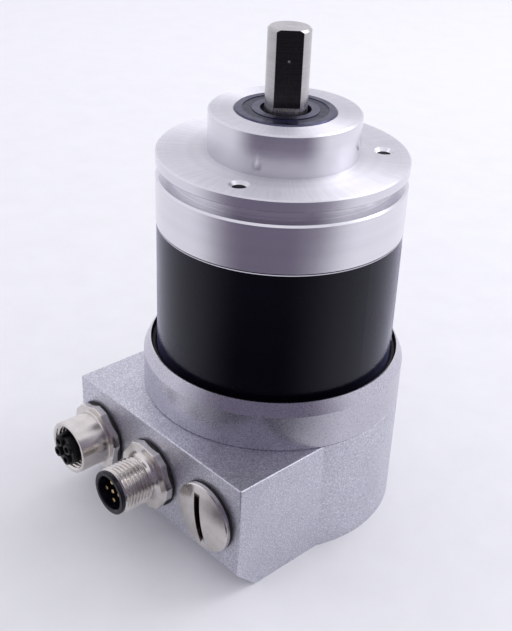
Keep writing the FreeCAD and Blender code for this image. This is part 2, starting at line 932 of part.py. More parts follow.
def make_gear_unit():
    axles = []
    for index, angle in enumerate(GEAR_ANGLES):
        magnet = polar_cylinder(
            "magnet_disc_%d" % index,
            "magnet_radius",
            "magnet_bottom",
            "magnet_height",
            "gear_distance",
            angle,
        )
        bore = polar_cylinder(
            "magnet_bore_%d" % index,
            "axle_bore_radius",
            "magnet_bottom - 1",
            "magnet_height + 2",
            "gear_distance",
            angle,
        )
        node(cut("magnet_ring_%d" % index, magnet, bore), "magnet_%d" % (index + 1))
        axles.append(
            polar_cylinder(
                "axle_%d" % index,
                "axle_radius",
                "lower_plate_bottom",
                "upper_plate_bottom + plate_thick - lower_plate_bottom",
                "gear_distance",
                angle,
            )
        )
    node(group("axle_group", axles), "axle_pins")
    for label, bottom, hole in (
        ("gear_plate_upper", "upper_plate_bottom", "stem_radius + 0.6"),
        ("gear_plate_lower", "lower_plate_bottom", "stem_radius"),
    ):
        plate = ring(label + "_blank", "plate_radius", hole, bottom, bottom + " + plate_thick")
        seats = []
        for index, angle in enumerate(GEAR_ANGLES):
            seats.append(
                polar_cylinder(
                    "%s_seat_%d" % (label, index),
                    "axle_radius",
                    bottom + " - 1",
                    "plate_thick + 2",
                    "gear_distance",
                    angle,
                )
            )
        drilled = cut(label + "_drilled", plate, fuse(label + "_seats", seats))
        node(cut(label + "_finished", drilled, stack_holes(label, bottom, "plate_thick")), label)
    make_disc_plate("gear_board", "board_radius", "gear_board_bottom", "board_thick", "board_hole_radius")
    chips = []
    for index, angle in enumerate(GEAR_ANGLES):
        chip = doc.addObject("Part::Box", "hall_chip_%d" % index)
        bind(chip, "Length", "hall_size")
        bind(chip, "Width", "hall_size")
        bind(chip, "Height", "hall_height")
        turn = math.radians(angle)
        half = NUMBERS["hall_size"] / 2
        reach = NUMBERS["gear_distance"]
        level = number_of("gear_board_bottom + board_thick")
        base = Vector(reach * math.cos(turn) - half, reach * math.sin(turn) - half, level)
        chip.Placement = FreeCAD.Placement(base, FreeCAD.Rotation())
        chip.setExpression(
            "Placement.Base.x",
            "sizes.gear_distance * cos(%g deg) - sizes.hall_size / 2" % angle,
        )
        chip.setExpression(
            "Placement.Base.y",
            "sizes.gear_distance * sin(%g deg) - sizes.hall_size / 2" % angle,
        )
        bind(chip, "Placement.Base.z", "gear_board_bottom + board_thick")
        chips.append(chip)
    node(group("hall_chip_group", chips), "hall_sensors")


# ---------------------------------------------------------------- housing

def make_housing():
    node(
        ring("tube_drawn", "tube_radius", "tube_inner_radius", "tube_bottom", "tube_top"), "housing_tube",
    )
    node(
        torus(
            "flange_oring_torus", "flange_oring_major", "flange_oring_minor", "spigot_groove_bottom + 1",
        ),
        "flange_oring",
    )
    outer = cylinder("label_outer", "tube_radius + label_thick", "label_bottom", "label_top")
    inner = cylinder("label_inner", "tube_radius", "label_bottom", "label_top")
    for item in (outer, inner):
        bind(item, "Angle", "label_span_angle")
        place(item, z="label_bottom", angle=NUMBERS["label_start_angle"])
    node(cut("label_sheet", outer, inner), "blank_label")
    plate = ring(
        "bulkhead_blank", "tube_inner_radius", "0", "bulkhead_bottom", "bulkhead_bottom + bulkhead_thick",
    )
    window = block(
        "bulkhead_window",
        "header_length",
        "header_width",
        "bulkhead_thick + 2",
        "0",
        "socket_offset_y",
        "bulkhead_bottom - 1",
    )
    tools = [window] + cover_screw_shanks("bulkhead_thread")
    node(cut("bulkhead_cut", plate, fuse("bulkhead_holes", tools)), "rear_plate")
    node(
        block(
            "header_block",
            "header_length",
            "header_width",
            "header_height",
            "0",
            "socket_offset_y",
            "header_bottom",
        ),
        "bulkhead_header",
    )


def cover_screw_shanks(prefix):
    shanks = []
    for sign in (-1, 1):
        shanks.append(
            cylinder(
                "%s_%d" % (prefix, sign + 1),
                "cover_screw_radius",
                "cover_screw_sink - 0.01",
                "cover_screw_tip",
                "post_offset_x" if sign > 0 else "0 - post_offset_x",
                "post_offset_y",
            )
        )
    return shanks


# ---------------------------------------------------------------- bus cover

def rounded_plan(body, name, half_width, front, radius):
    """Sketch of a square front joined to a round rear about the shaft axis."""
    sketch = body.newObject("Sketcher::SketchObject", name)
    sketch.AttachmentSupport = (plane_of(body, "XY_Plane"), [""])
    sketch.MapMode = "FlatFace"
    wide = number_of(half_width)
    near = -number_of(front)
    round_radius = number_of(radius)
    joint = -math.sqrt(round_radius ** 2 - wide ** 2)
    start = math.atan2(joint, wide)
    sketch.addGeometry(Part.LineSegment(Vector(-wide, near, 0), Vector(wide, near, 0)), False)
    sketch.addGeometry(Part.LineSegment(Vector(wide, near, 0), Vector(wide, joint, 0)), False)
    circle = Part.Circle(Vector(0, 0, 0), Vector(0, 0, 1), round_radius)
    sketch.addGeometry(Part.ArcOfCircle(circle, start, math.pi - start), False)
    sketch.addGeometry(Part.LineSegment(Vector(-wide, joint, 0), Vector(-wide, near, 0)), False)
    for first, first_end, second, second_end in ((0, 2, 1, 1), (1, 2, 2, 1), (2, 2, 3, 1), (3, 2, 0, 1)):
        sketch.addConstraint(Sketcher.Constraint("Coincident", first, first_end, second, second_end))
    sketch.addConstraint(Sketcher.Constraint("Coincident", 2, 3, -1, 1))
    sketch.addConstraint(Sketcher.Constraint("Horizontal", 0))
    sketch.addConstraint(Sketcher.Constraint("Vertical", 1))
    sketch.addConstraint(Sketcher.Constraint("Vertical", 3))
    drives = [
        (Sketcher.Constraint("DistanceX", -1, 1, 0, 2, wide), half_width),
        (Sketcher.Constraint("DistanceX", 0, 1, -1, 1, wide), half_width),
        (Sketcher.Constraint("DistanceY", 0, 1, -1, 1, -near), front),
        (Sketcher.Constraint("Radius", 2, round_radius), radius),
    ]
    for constraint, text in drives:
        index = sketch.addConstraint(constraint)
        sketch.setExpression("Constraints[%d]" % index, formula(text))
    return sketch


def plan_pad(name, half_width, front, radius, height):
    body = doc.addObject("PartDesign::Body", name)
    sketch = rounded_plan(body, name + "_plan", half_width, front, radius)
    pad = body.newObject("PartDesign::Pad", name + "_pad")
    pad.Profile = sketch
    bind(pad, "Length", height)
    sketch.Visibility = False
    body.Tip = pad
    return body


def nose_edge(shape):
    """Name of the edge where the nose chamfer meets the underside."""
    level = NUMBERS["nose_chamfer"] - NUMBERS["front_offset"]
    for index, edge in enumerate(shape.Edges, start=1):
        box = edge.BoundBox
        if box.ZMax < 0.01 and abs(box.YMin - level) < 0.01 and abs(box.YMax - level) < 0.01:
            return "Edge%d" % index
    raise ValueError("nose edge")


def crisp_edges(shape):
    """Names of the upper rim's edges and the two upright front corners."""
    names = []
    front = -NUMBERS["front_offset"]
    for index, edge in enumerate(shape.Edges, start=1):
        box = edge.BoundBox
        on_rim = box.ZMin > NUMBERS["block_height"] - 0.01
        on_corner = abs(box.YMin - front) < 0.01 and abs(box.YMax - front) < 0.01 and box.XLength < 0.01
        if on_rim or on_corner:
            names.append("Edge%d" % index)
    return names


def make_bus_cover():
    body = plan_pad("cover_blank", "block_half_width", "front_offset", "rear_radius", "block_height")
    nose = outline(
        body,
        "nose_profile",
        "YZ_Plane",
        [
            ("0 - front_offset - 1", "0 - 1"),
            ("0 - front_offset + nose_chamfer + 1", "0 - 1"),
            ("0 - front_offset - 1", "nose_chamfer + 1"),
        ],
    )
    trim = body.newObject("PartDesign::Pocket", "nose_trim")
    trim.Profile = nose
    trim.Type = "ThroughAll"
    trim.Midplane = True
    nose.Visibility = False
    doc.recompute()
    soften = body.newObject("PartDesign::Fillet", "nose_soften")
    soften.Base = (trim, [nose_edge(trim.Shape)])
    bind(soften, "Radius", "nose_round")
    doc.recompute()
    broken = body.newObject("PartDesign::Fillet", "edges_broken")
    broken.Base = (soften, crisp_edges(soften.Shape))
    bind(broken, "Radius", "edge_break")
    body.Tip = broken
    cavity = plan_pad(
        "cavity_blank",
        "block_half_width - side_wall",
        "front_offset - front_wall",
        "rear_radius - side_wall",
        "block_height - floor_thick - roof_thick",
    )
    place(cavity, z="floor_thick")
    lead = doc.addObject("Part::Wedge", "cavity_nose")
    lead.Xmin = 0
    lead.Ymin = 0
    lead.Zmin = 0
    lead.X2min = 0
    lead.Z2min = 0
    bind(lead, "Xmax", "block_half_width + block_half_width")
    bind(lead, "X2max", "block_half_width + block_half_width")
    bind(lead, "Ymax", "nose_chamfer")
    bind(lead, "Zmax", "nose_chamfer")
    lead.Z2max = 0
    lead.Placement = FreeCAD.Placement(
        Vector(
            -NUMBERS["block_half_width"], number_of("front_wall - front_offset"), NUMBERS["floor_thick"],
        ),
        FreeCAD.Rotation(Vector(0, 0, 1), 0),
    )
    bind(lead, "Placement.Base.x", "0 - block_half_width")
    bind(lead, "Placement.Base.y", "front_wall - front_offset")
    bind(lead, "Placement.Base.z", "floor_thick")
    hollow = cut("cavity_shaped", cavity, lead)
    mouth = cylinder("cover_mouth", "mouth_radius", "block_height - roof_thick - 1", "block_height + 1")
    ports = []
    for index, x in enumerate(port_positions()):
        port = cylinder_high("port_hole_%d" % index, "stub_radius", "0", "front_wall + 4")
        place(port, x, "1 - front_offset - 2", "port_level", Vector(1, 0, 0), -90.0)
        ports.append(port)
    shell = cut("cover_shell", body, fuse("cover_voids", [hollow, mouth] + ports))
    posts = []
    counterbores = []
    for sign in (-1, 1):
        x = "post_offset_x" if sign > 0 else "0 - post_offset_x"
        posts.append(
            cylinder(
                "screw_post_%d" % sign,
                "post_radius + 1",
                "post_root",
                "block_height - roof_thick",
                x,
                "post_offset_y",
            ),
        )
        posts.append(
            cylinder("post_tip_%d" % sign, "post_radius", "post_root", "post_top", x, "post_offset_y"),
        )
        counterbores.append(
            cylinder(
                "counterbore_%d" % sign,
                "cover_screw_head_radius + 0.3",
                "0 - 1",
                "cover_screw_sink",
                x,
                "post_offset_y",
            )
        )
    studs = []
    for index, (x, y) in enumerate(board_studs()):
        studs.append(cylinder("board_stud_%d" % index, "stud_radius", "post_root", "iface_bottom", x, y))
    filled = fuse("cover_with_posts", [shell] + posts + studs)
    drills = counterbores + cover_screw_shanks("cover_drill")
    node(cut("cover_drilled", filled, fuse("cover_drills", drills)), "bus_cover")


def board_studs():
    side = "iface_half_width - 4"
    return [
        (side, "0 - 24"),
        ("0 - iface_half_width + 4", "0 - 24"),
        (side, "13"),
        ("0 - iface_half_width + 4", "13"),
    ]


def port_positions():
    return (
        "port_middle_x - port_pitch",
        "port_middle_x",
        "port_middle_x + port_pitch",
    )


def make_cover_ring():
    profile = [
        ("ring_bore_radius", "block_height"),
        ("rear_radius - 0.25", "block_height"),
        ("rear_radius", "block_height + 0.25"),
        ("rear_radius", "ring_shoulder"),
        ("ring_rim_radius", "ring_top"),
        ("ring_seal_radius", "ring_top"),
        ("ring_seal_radius", "ring_seal_floor"),
        ("ring_bore_radius", "ring_seal_floor"),
    ]
    node(turned("ring_turned", profile), "cover_ring")
    node(
        torus("cover_seal_torus", "cover_seal_major", "cover_seal_minor", "cover_seal_level"),
        "cover_seal",
    )


def make_cover_screws():
    screws = []
    for sign in (-1, 1):
        x = "post_offset_x" if sign > 0 else "0 - post_offset_x"
        head = cylinder(
            "cover_head_%d" % sign,
            "cover_screw_head_radius",
            "cover_screw_sink - cover_screw_head_height",
            "cover_screw_sink",
            x,
            "post_offset_y",
        )
        shank = cylinder(
            "cover_shank_%d" % sign,
            "cover_screw_radius",
            "cover_screw_sink - 0.01",
            "cover_screw_tip",
            x,
            "post_offset_y",
        )
        socket = hexagon("cover_key_%d" % sign, "1.25", "0", "1.5", 0.0)
        place(socket, x, "post_offset_y", "cover_screw_sink - cover_screw_head_height - 0.01")
        whole = fuse("cover_screw_solid_%d" % sign, [head, shank])
        screws.append(cut("cover_screw_%d" % sign, whole, socket))
    node(group("cover_screw_group", screws), "cover_screws")


# ---------------------------------------------------------------- interface board

def make_interface():
    board = block(
        "iface_blank",
        "iface_half_width + iface_half_width",
        "iface_length",
        "board_thick",
        "0",
        "iface_middle_y",
        "iface_bottom",
    )
    node(board, "interface_board")
    top = "iface_bottom + board_thick"
    node(
        block(
            "socket_block",
            "header_length + 2",
            "header_width + 2",
            "header_bottom - iface_bottom - board_thick",
            "0",
            "socket_offset_y",
            top,
        ),
        "bus_socket",
    )
    bodies = []
    for sign, label in ((-1, "address_dial_tens"), (1, "address_dial_ones")):
        x = "switch_distance_x" if sign > 0 else "0 - switch_distance_x"
        case = block(
            "switch_case_%d" % sign,
            "switch_size",
            "switch_size",
            "switch_height",
            x,
            "switch_offset_y",
            top,
        )
        well = cylinder_high(
            "switch_well_%d" % sign,
            "dial_bore_radius",
            top + " + switch_height - 1.8",
            "3",
            x,
            "switch_offset_y",
        )
        bodies.append(cut("switch_body_%d" % sign, case, well))
        dial = cylinder_high(
            "dial_disc_%d" % sign,
            "dial_radius",
            top + " + switch_height - 1.75",
            "dial_height",
            x,
            "switch_offset_y",
        )
        notch = block(
            "dial_notch_%d" % sign,
            "0.9",
            "4.6",
            "2",
            x,
            "switch_offset_y",
            top + " + switch_height - 0.35",
        )
        node(cut("dial_slotted_%d" % sign, dial, notch), label)
    node(group("switch_group", bodies), "address_switches")
    case = block(
        "slider_case",
        "slider_body_length",
        "slider_body_width",
        "slider_body_height",
        "0",
        "slider_offset_y",
        top,
    )
    track = block(
        "slider_track",
        "slider_travel + 2.2",
        "2",
        "3",
        "0",
        "slider_offset_y",
        top + " + slider_body_height - 1.6",
    )
    node(cut("slider_body", case, track), "termination_switch")
    node(
        block(
            "slider_knob",
            "2",
            "1.8",
            "3.4",
            "0 - 1.2",
            "slider_offset_y",
            top + " + slider_body_height - 1.5",
        ),
        "termination_slider",
    )


# ---------------------------------------------------------------- ports

def hex_flange(name, angle):
    """Hexagon with cut corners, standing on its gasket."""
    height = "hex_front - gasket_thick"
    prism = hexagon(name + "_prism", "hex_flat_radius", "gasket_thick", height, angle)
    corners = hexagon(name + "_corners", "hex_cut_radius", "gasket_thick", height, angle + 30.0)
    limit = turned(
        name + "_limit",
        [
            ("0", "gasket_thick - 1"),
            ("hex_edge_radius + 1", "gasket_thick - 1"),
            ("hex_edge_radius + 1", "hex_front - 0.2"),
            ("hex_edge_radius", "hex_front - 0.2"),
            ("hex_edge_radius - 0.3", "hex_front"),
            ("0", "hex_front"),
        ],
    )
    return common(name + "_hex", common(name + "_trimmed", prism, corners), limit)


def contact_places(start_angle):
    """Distance and angle of the four outer contacts and the one in the middle."""
    places = [("contact_pitch_radius", start_angle + 90.0 * index) for index in range(4)]
    return places + [("0", 0.0)]


def contact_row(name, radius, back, front, start_angle):
    """Five straight contacts, four of them on the standard pitch circle."""
    items = []
    for index, (distance, angle) in enumerate(contact_places(start_angle)):
        contact = "%s_%d" % (name, index)
        height = front + " + " + back
        items.append(polar_cylinder(contact, radius, "0 - " + back, height, distance, angle))
    return items


def make_female_port(x):
    barrel = turned(
        "female_barrel",
        [
            ("insert_body_radius", "0 - front_wall"),
            ("stub_radius", "0 - front_wall"),
            ("stub_radius", "gasket_thick + 0.5"),
            ("female_radius", "gasket_thick + 0.5"),
            ("female_radius", "female_mouth - 0.35"),
            ("female_radius - 0.35", "female_mouth"),
            ("female_thread_radius + 0.45", "female_mouth"),
            ("female_thread_radius", "female_mouth - 0.45"),
            ("female_thread_radius", "female_mouth - female_thread_depth"),
            ("insert_body_radius", "female_mouth - female_thread_depth"),
        ],
    )
    bore = cylinder("female_clear", "insert_body_radius", "0 - 1", "hex_front + 1")
    ring_part = cut("female_hex_open", hex_flange("female", FEMALE_HEX_ANGLE), bore)
    node(on_front(fuse("female_shell_solid", [barrel, ring_part]), x), "m12_female_shell")
    core = turned(
        "female_core",
        [
            ("0", "0 - insert_back"),
            ("insert_body_radius", "0 - insert_back"),
            ("insert_body_radius", "female_mouth - female_thread_depth"),
            ("female_insert_radius", "female_mouth - female_thread_depth"),
            ("female_insert_radius", "female_insert_front - 0.3"),
            ("female_insert_radius - 0.3", "female_insert_front"),
            ("0", "female_insert_front"),
        ],
    )
    bores = contact_row(
        "female_bore",
        "contact_radius + 0.25",
        "contact_back",
        "female_insert_front + 1",
        FEMALE_CONTACT_ANGLE,
    )
    key = cylinder_high("female_key", "0.7", "female_mouth - female_thread_depth", "12")
    place(key, "0", "female_insert_radius", "female_mouth - female_thread_depth")
    node(
        on_front(cut("female_insert_solid", core, fuse("female_insert_voids", bores + [key])), x),
        "m12_female_insert",
    )
    sleeves = []
    outers = contact_row(
        "female_contact",
        "contact_radius + 0.25",
        "contact_back",
        "female_contact_front",
        FEMALE_CONTACT_ANGLE,
    )
    for index, (distance, angle) in enumerate(contact_places(FEMALE_CONTACT_ANGLE)):
        hole = "female_contact_hole_%d" % index
        inner = polar_cylinder(hole, "contact_radius", "female_contact_front - 5", "6", distance, angle)
        sleeves.append(cut("female_sleeve_%d" % index, outers[index], inner))
    node(on_front(group("female_contact_group", sleeves), x), "m12_female_contacts")


def make_male_port(x):
    barrel = turned(
        "male_barrel",
        [
            ("insert_body_radius", "0 - front_wall"),
            ("stub_radius", "0 - front_wall"),
            ("stub_radius", "gasket_thick + 0.5"),
            ("male_neck_radius", "gasket_thick + 0.5"),
            ("male_neck_radius", "male_thread_end"),
            ("male_thread_radius", "male_thread_end + 0.45"),
            ("male_thread_radius", "male_thread_front - 0.45"),
            ("male_neck_radius", "male_thread_front"),
            ("insert_body_radius", "male_thread_front"),
        ],
    )
    bore = cylinder("male_clear", "insert_body_radius", "0 - 1", "hex_front + 1")
    ring_part = cut("male_hex_open", hex_flange("male", MALE_HEX_ANGLE), bore)
    node(on_front(fuse("male_shell_solid", [barrel, ring_part]), x), "m12_male_shell")
    core = turned(
        "male_core",
        [
            ("0", "0 - insert_back"),
            ("insert_body_radius", "0 - insert_back"),
            ("insert_body_radius", "male_thread_front"),
            ("male_rim_radius", "male_thread_front"),
            ("male_rim_radius", "male_rim_front - 0.2"),
            ("male_rim_radius - 0.2", "male_rim_front"),
            ("male_cup_radius + 0.25", "male_rim_front"),
            ("male_cup_radius", "male_rim_front - 0.25"),
            ("male_cup_radius", "male_cup_floor"),
            ("0", "male_cup_floor"),
        ],
    )
    bores = contact_row(
        "male_bore", "contact_radius", "contact_back", "male_rim_front + 1", MALE_CONTACT_ANGLE,
    )
    node(on_front(cut("male_insert_solid", core, fuse("male_insert_voids", bores)), x), "m12_male_insert")
    pins = contact_row(
        "male_pin", "contact_radius", "contact_back", "male_pin_front", MALE_CONTACT_ANGLE,
    )
    node(on_front(group("male_pin_group", pins), x), "m12_male_pins")


def make_plug(x):
    head = turned(
        "plug_blank",
        [
            ("0", "0 - front_wall"),
            ("stub_radius", "0 - front_wall"),
            ("stub_radius", "gasket_thick"),
            ("plug_radius", "gasket_thick"),
            ("plug_radius", "plug_rim - plug_edge"),
            ("plug_radius - plug_edge", "plug_rim"),
            ("plug_radius - plug_edge", "plug_front"),
            ("0", "plug_front"),
        ],
    )
    dome = doc.addObject("Part::Sphere", "plug_dome")
    bind(dome, "Radius", "plug_dome_radius")
    place(dome, z="plug_front - plug_dome_radius")
    domed = common("plug_domed", head, dome)
    saw = doc.addObject("Part::Cylinder", "slot_saw")
    bind(saw, "Radius", "slot_saw_radius")
    bind(saw, "Height", "slot_width")
    saw.Placement = FreeCAD.Placement(
        Vector(
            -number_of("slot_width") / 2 * math.cos(math.radians(PLUG_SLOT_ANGLE)),
            -number_of("slot_width") / 2 * math.sin(math.radians(PLUG_SLOT_ANGLE)),
            number_of("plug_front + slot_saw_radius - slot_depth"),
        ),
        FreeCAD.Rotation(Vector(0, 0, 1), PLUG_SLOT_ANGLE) * FreeCAD.Rotation(Vector(0, 1, 0), 90),
    )
    saw.setExpression("Placement.Base.x", "-sizes.slot_width / 2 * cos(%g deg)" % PLUG_SLOT_ANGLE)
    saw.setExpression("Placement.Base.y", "-sizes.slot_width / 2 * sin(%g deg)" % PLUG_SLOT_ANGLE)
    bind(saw, "Placement.Base.z", "plug_front + slot_saw_radius - slot_depth")
    node(on_front(cut("plug_slotted", domed, saw), x), "blind_plug")


def make_ports():
    female_x, male_x, plug_x = port_positions()
    make_female_port(female_x)
    make_male_port(male_x)
    make_plug(plug_x)
    gaskets = []
    for index, x in enumerate(port_positions()):
        gasket = ring("gasket_%d" % index, "gasket_radius", "stub_radius", "0", "gasket_thick")
        gaskets.append(on_front(gasket, x))
    node(group("gasket_group", gaskets), "port_gaskets")


def check_and_export():
    doc.recompute()
    for item in doc.Objects:
        if "Invalid" in item.State or "Error" in item.State:
            raise RuntimeError("%s: %s" % (item.Name, item.State))
    os.makedirs("parts", exist_ok=True)
    for item in NODES:
        shape = item.Shape
        if shape.isNull() or not shape.isValid() or not shape.Solids:
            raise RuntimeError("bad shape: " + item.Label)
        shape.exportStep(os.path.join("parts", item.Label + ".step"))
        print("%-22s solids %2d volume %10.2f" % (item.Label, len(shape.Solids), shape.Volume))
    print("%d nodes" % len(NODES))


make_flange()
make_bearing("front")
make_bearing("rear")
make_bearing_retainers()
make_shaft()
make_scanning()
make_stack()
make_gears()
make_gear_unit()
make_housing()
make_bus_cover()
make_cover_ring()
make_cover_screws()
make_interface()
make_ports()
check_and_export()
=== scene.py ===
import json
import math

import bmesh
import bpy
from mathutils import Matrix, Vector


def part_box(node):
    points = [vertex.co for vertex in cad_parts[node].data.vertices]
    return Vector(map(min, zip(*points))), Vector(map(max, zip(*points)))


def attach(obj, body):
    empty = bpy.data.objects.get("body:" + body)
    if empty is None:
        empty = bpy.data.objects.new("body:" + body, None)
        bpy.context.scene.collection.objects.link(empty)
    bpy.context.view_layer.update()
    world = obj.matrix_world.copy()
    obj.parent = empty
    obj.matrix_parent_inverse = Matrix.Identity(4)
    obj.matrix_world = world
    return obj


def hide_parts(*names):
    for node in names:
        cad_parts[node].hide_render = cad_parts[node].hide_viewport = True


# Looks of the rotary encoder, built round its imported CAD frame. Lengths are in metres.
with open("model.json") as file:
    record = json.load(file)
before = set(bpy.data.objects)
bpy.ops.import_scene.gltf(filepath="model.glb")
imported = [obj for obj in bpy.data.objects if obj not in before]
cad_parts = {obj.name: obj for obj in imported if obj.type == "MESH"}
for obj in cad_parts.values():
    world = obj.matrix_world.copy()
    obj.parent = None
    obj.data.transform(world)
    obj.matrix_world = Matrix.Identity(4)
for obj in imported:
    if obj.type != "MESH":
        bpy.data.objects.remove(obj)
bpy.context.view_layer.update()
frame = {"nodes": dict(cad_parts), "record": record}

MM = 0.001


# ---------------------------------------------------------------- material tools

class Surface:
    """One material: a Principled shader and the nodes that feed it."""

    def __init__(self, name, colour, roughness, **values):
        self.material = bpy.data.materials.new(name)
        self.material.use_nodes = True
        self.tree = self.material.node_tree
        self.shader = self.tree.nodes["Principled BSDF"]
        self.set("Base Color", (*colour, 1.0))
        self.set("Roughness", roughness)
        for key, value in values.items():
            self.set(key.replace("_", " "), value)
        self.place = self.add("ShaderNodeTexCoord").outputs["Object"]
        self.normal = None

    def set(self, name, value):
        self.feed(self.shader.inputs[name], value)

    def feed(self, socket, value):
        if isinstance(value, bpy.types.NodeSocket):
            self.tree.links.new(value, socket)
        else:
            socket.default_value = value

    def add(self, kind, inputs=None, **settings):
        item = self.tree.nodes.new(kind)
        for key, value in settings.items():
            setattr(item, key, value)
        for key, value in (inputs or {}).items():
            self.feed(item.inputs[key], value)
        return item

    def calc(self, operation, *values):
        return self.add("ShaderNodeMath", dict(enumerate(values)), operation=operation).outputs[0]

    def vector(self, operation, *values):
        item = self.add("ShaderNodeVectorMath", dict(enumerate(values)), operation=operation)
        return item.outputs["Value" if operation in ("DOT_PRODUCT", "DISTANCE") else 0]

    def stretched(self, x, y, z):
        """Object position scaled unevenly, for grain that runs along one axis."""
        return self.vector("MULTIPLY", self.place, (x, y, z))

    def noise(self, size, detail=2.0, rough=0.5, place=None):
        """Noise whose features are about size metres across."""
        inputs = {
            "Vector": self.place if place is None else place,
            "Scale": 1.0 / size,
            "Detail": detail,
            "Roughness": rough,
        }
        return self.add("ShaderNodeTexNoise", inputs).outputs["Fac"]

    def cells(self, size):
        """Distance to the nearest of scattered points, in cell sizes."""
        inputs = {"Vector": self.place, "Scale": 1.0 / size}
        return self.add("ShaderNodeTexVoronoi", inputs).outputs["Distance"]

    def spread(self, value, low, high, start=0.0, end=1.0, kind="LINEAR"):
        inputs = {
            "Value": value,
            "From Min": low,
            "From Max": high,
            "To Min": start,
            "To Max": end,
        }
        return self.add("ShaderNodeMapRange", inputs, interpolation_type=kind).outputs["Result"]

    def blend(self, share, first, second):
        """Colour between first and second, either sockets or plain colours."""
        item = self.add("ShaderNodeMix", data_type="RGBA")
        self.feed(item.inputs[0], share)
        for index, colour in ((6, first), (7, second)):
            is_socket = isinstance(colour, bpy.types.NodeSocket)
            self.feed(item.inputs[index], colour if is_socket else (*colour[:3], 1.0))
        return item.outputs[2]

    def bump(self, height, distance):
        """Adds relief of the given depth, on top of any relief added before."""
        inputs = {"Height": height, "Distance": distance, "Strength": 1.0}
        if self.normal is not None:
            inputs["Normal"] = self.normal
        self.normal = self.add("ShaderNodeBump", inputs).outputs["Normal"]
        self.set("Normal", self.normal)

    def lathe(self, axis="Z", centre=(0.0, 0.0, 0.0)):
        """Radius from an axis through centre, and height along it."""
        shifted = self.vector("SUBTRACT", self.place, centre)
        parts = self.add("ShaderNodeSeparateXYZ", {0: shifted})
        across = [parts.outputs[letter] for letter in "XYZ" if letter != axis]
        squares = [self.calc("MULTIPLY", part, part) for part in across]
        return self.calc("SQRT", self.calc("ADD", *squares)), parts.outputs[axis]

    def rings(self, size, axis="Z", centre=(0.0, 0.0, 0.0), detail=3.0):
        """Noise that runs round an axis, as a cutting tool leaves it."""
        radius, height = self.lathe(axis, centre)
        line = self.add("ShaderNodeCombineXYZ", {0: radius, 1: height}).outputs[0]
        return self.noise(size, detail, 0.6, line)

    def edges(self, radius):
        """1 along sharp edges, falling to 0 a bevel radius away."""
        rounded = self.add("ShaderNodeBevel", {"Radius": radius}, samples=6).outputs["Normal"]
        flat = self.add("ShaderNodeNewGeometry").outputs["Normal"]
        return self.spread(self.vector("DOT_PRODUCT", rounded, flat), 0.998, 0.8)

    def brushed(self, amount, axis="Z"):
        """Highlights drawn out across marks that run round an axis."""
        around = self.add("ShaderNodeTangent", direction_type="RADIAL", axis=axis)
        self.set("Anisotropic", amount)
        self.set("Anisotropic Rotation", 0.25)
        self.set("Tangent", around.outputs[0])


# ---------------------------------------------------------------- metals

def turned_aluminium():
    """Bright lathe-turned aluminium: glossy round the sides, hazier on the disc's and collar's faces,
    with painted dark reflection spokes on those faces and a painted highlight along sharp edges.
    """
    disc_bottom = 90.7 * MM
    s = Surface("turned_aluminium", (0.74, 0.73, 0.77), 0.28, Metallic=1.0)
    marks = s.rings(0.32 * MM)
    coarse = s.rings(1.9 * MM, detail=1.0)
    haze = s.noise(9 * MM, 3.0)
    tone = s.blend(s.spread(coarse, 0.3, 0.7), (0.74, 0.73, 0.77), (0.78, 0.77, 0.805))
    tone = s.blend(s.spread(marks, 0.35, 0.75, 0.0, 0.18), tone, (0.64, 0.63, 0.68))
    radius, height = s.lathe()
    sweep = s.add("ShaderNodeSeparateXYZ", {0: s.place})
    around = s.calc("ARCTAN2", sweep.outputs["Y"], sweep.outputs["X"])
    polar = s.add("ShaderNodeCombineXYZ", {0: around, 1: s.calc("MULTIPLY", radius, 2.0)})
    # This noise runs over an angle in radians, so it makes spokes that narrow towards the axis.
    spokes = s.noise(0.022, 4.0, 0.75, polar.outputs[0])
    facing = s.add("ShaderNodeNewGeometry").outputs["Normal"]
    upward = s.add("ShaderNodeSeparateXYZ", {0: facing}).outputs["Z"]
    above = s.spread(height, disc_bottom + 0.2 * MM, disc_bottom + 0.8 * MM)
    faced = s.calc("MULTIPLY", s.spread(upward, 0.6, 0.9), above)
    # Painted reflection: dark spokes on the upward faces stand in for the fanned reflections of turning
    # marks.
    painted_reflection_streaks = s.calc("MULTIPLY", s.spread(spokes, 0.40, 0.66), s.calc("MULTIPLY", faced, 0.30))
    tone = s.blend(painted_reflection_streaks, tone, (0.52, 0.51, 0.56))
    # Painted highlight: sharp edges are lightened towards near-white.
    edge = s.edges(0.22 * MM)
    s.set("Base Color", s.blend(edge, tone, (0.93, 0.93, 0.97)))
    rough = s.calc("ADD", s.spread(haze, 0.3, 0.7, 0.18, 0.24), s.spread(marks, 0.3, 0.7, -0.02, 0.03))
    s.set("Roughness", s.calc("ADD", rough, s.calc("MULTIPLY", faced, 0.36)))
    s.bump(s.rings(0.15 * MM), 0.0012 * MM)
    s.bump(s.noise(0.5 * MM, 2.0), 0.0006 * MM)
    s.brushed(0.72)
    return s.material


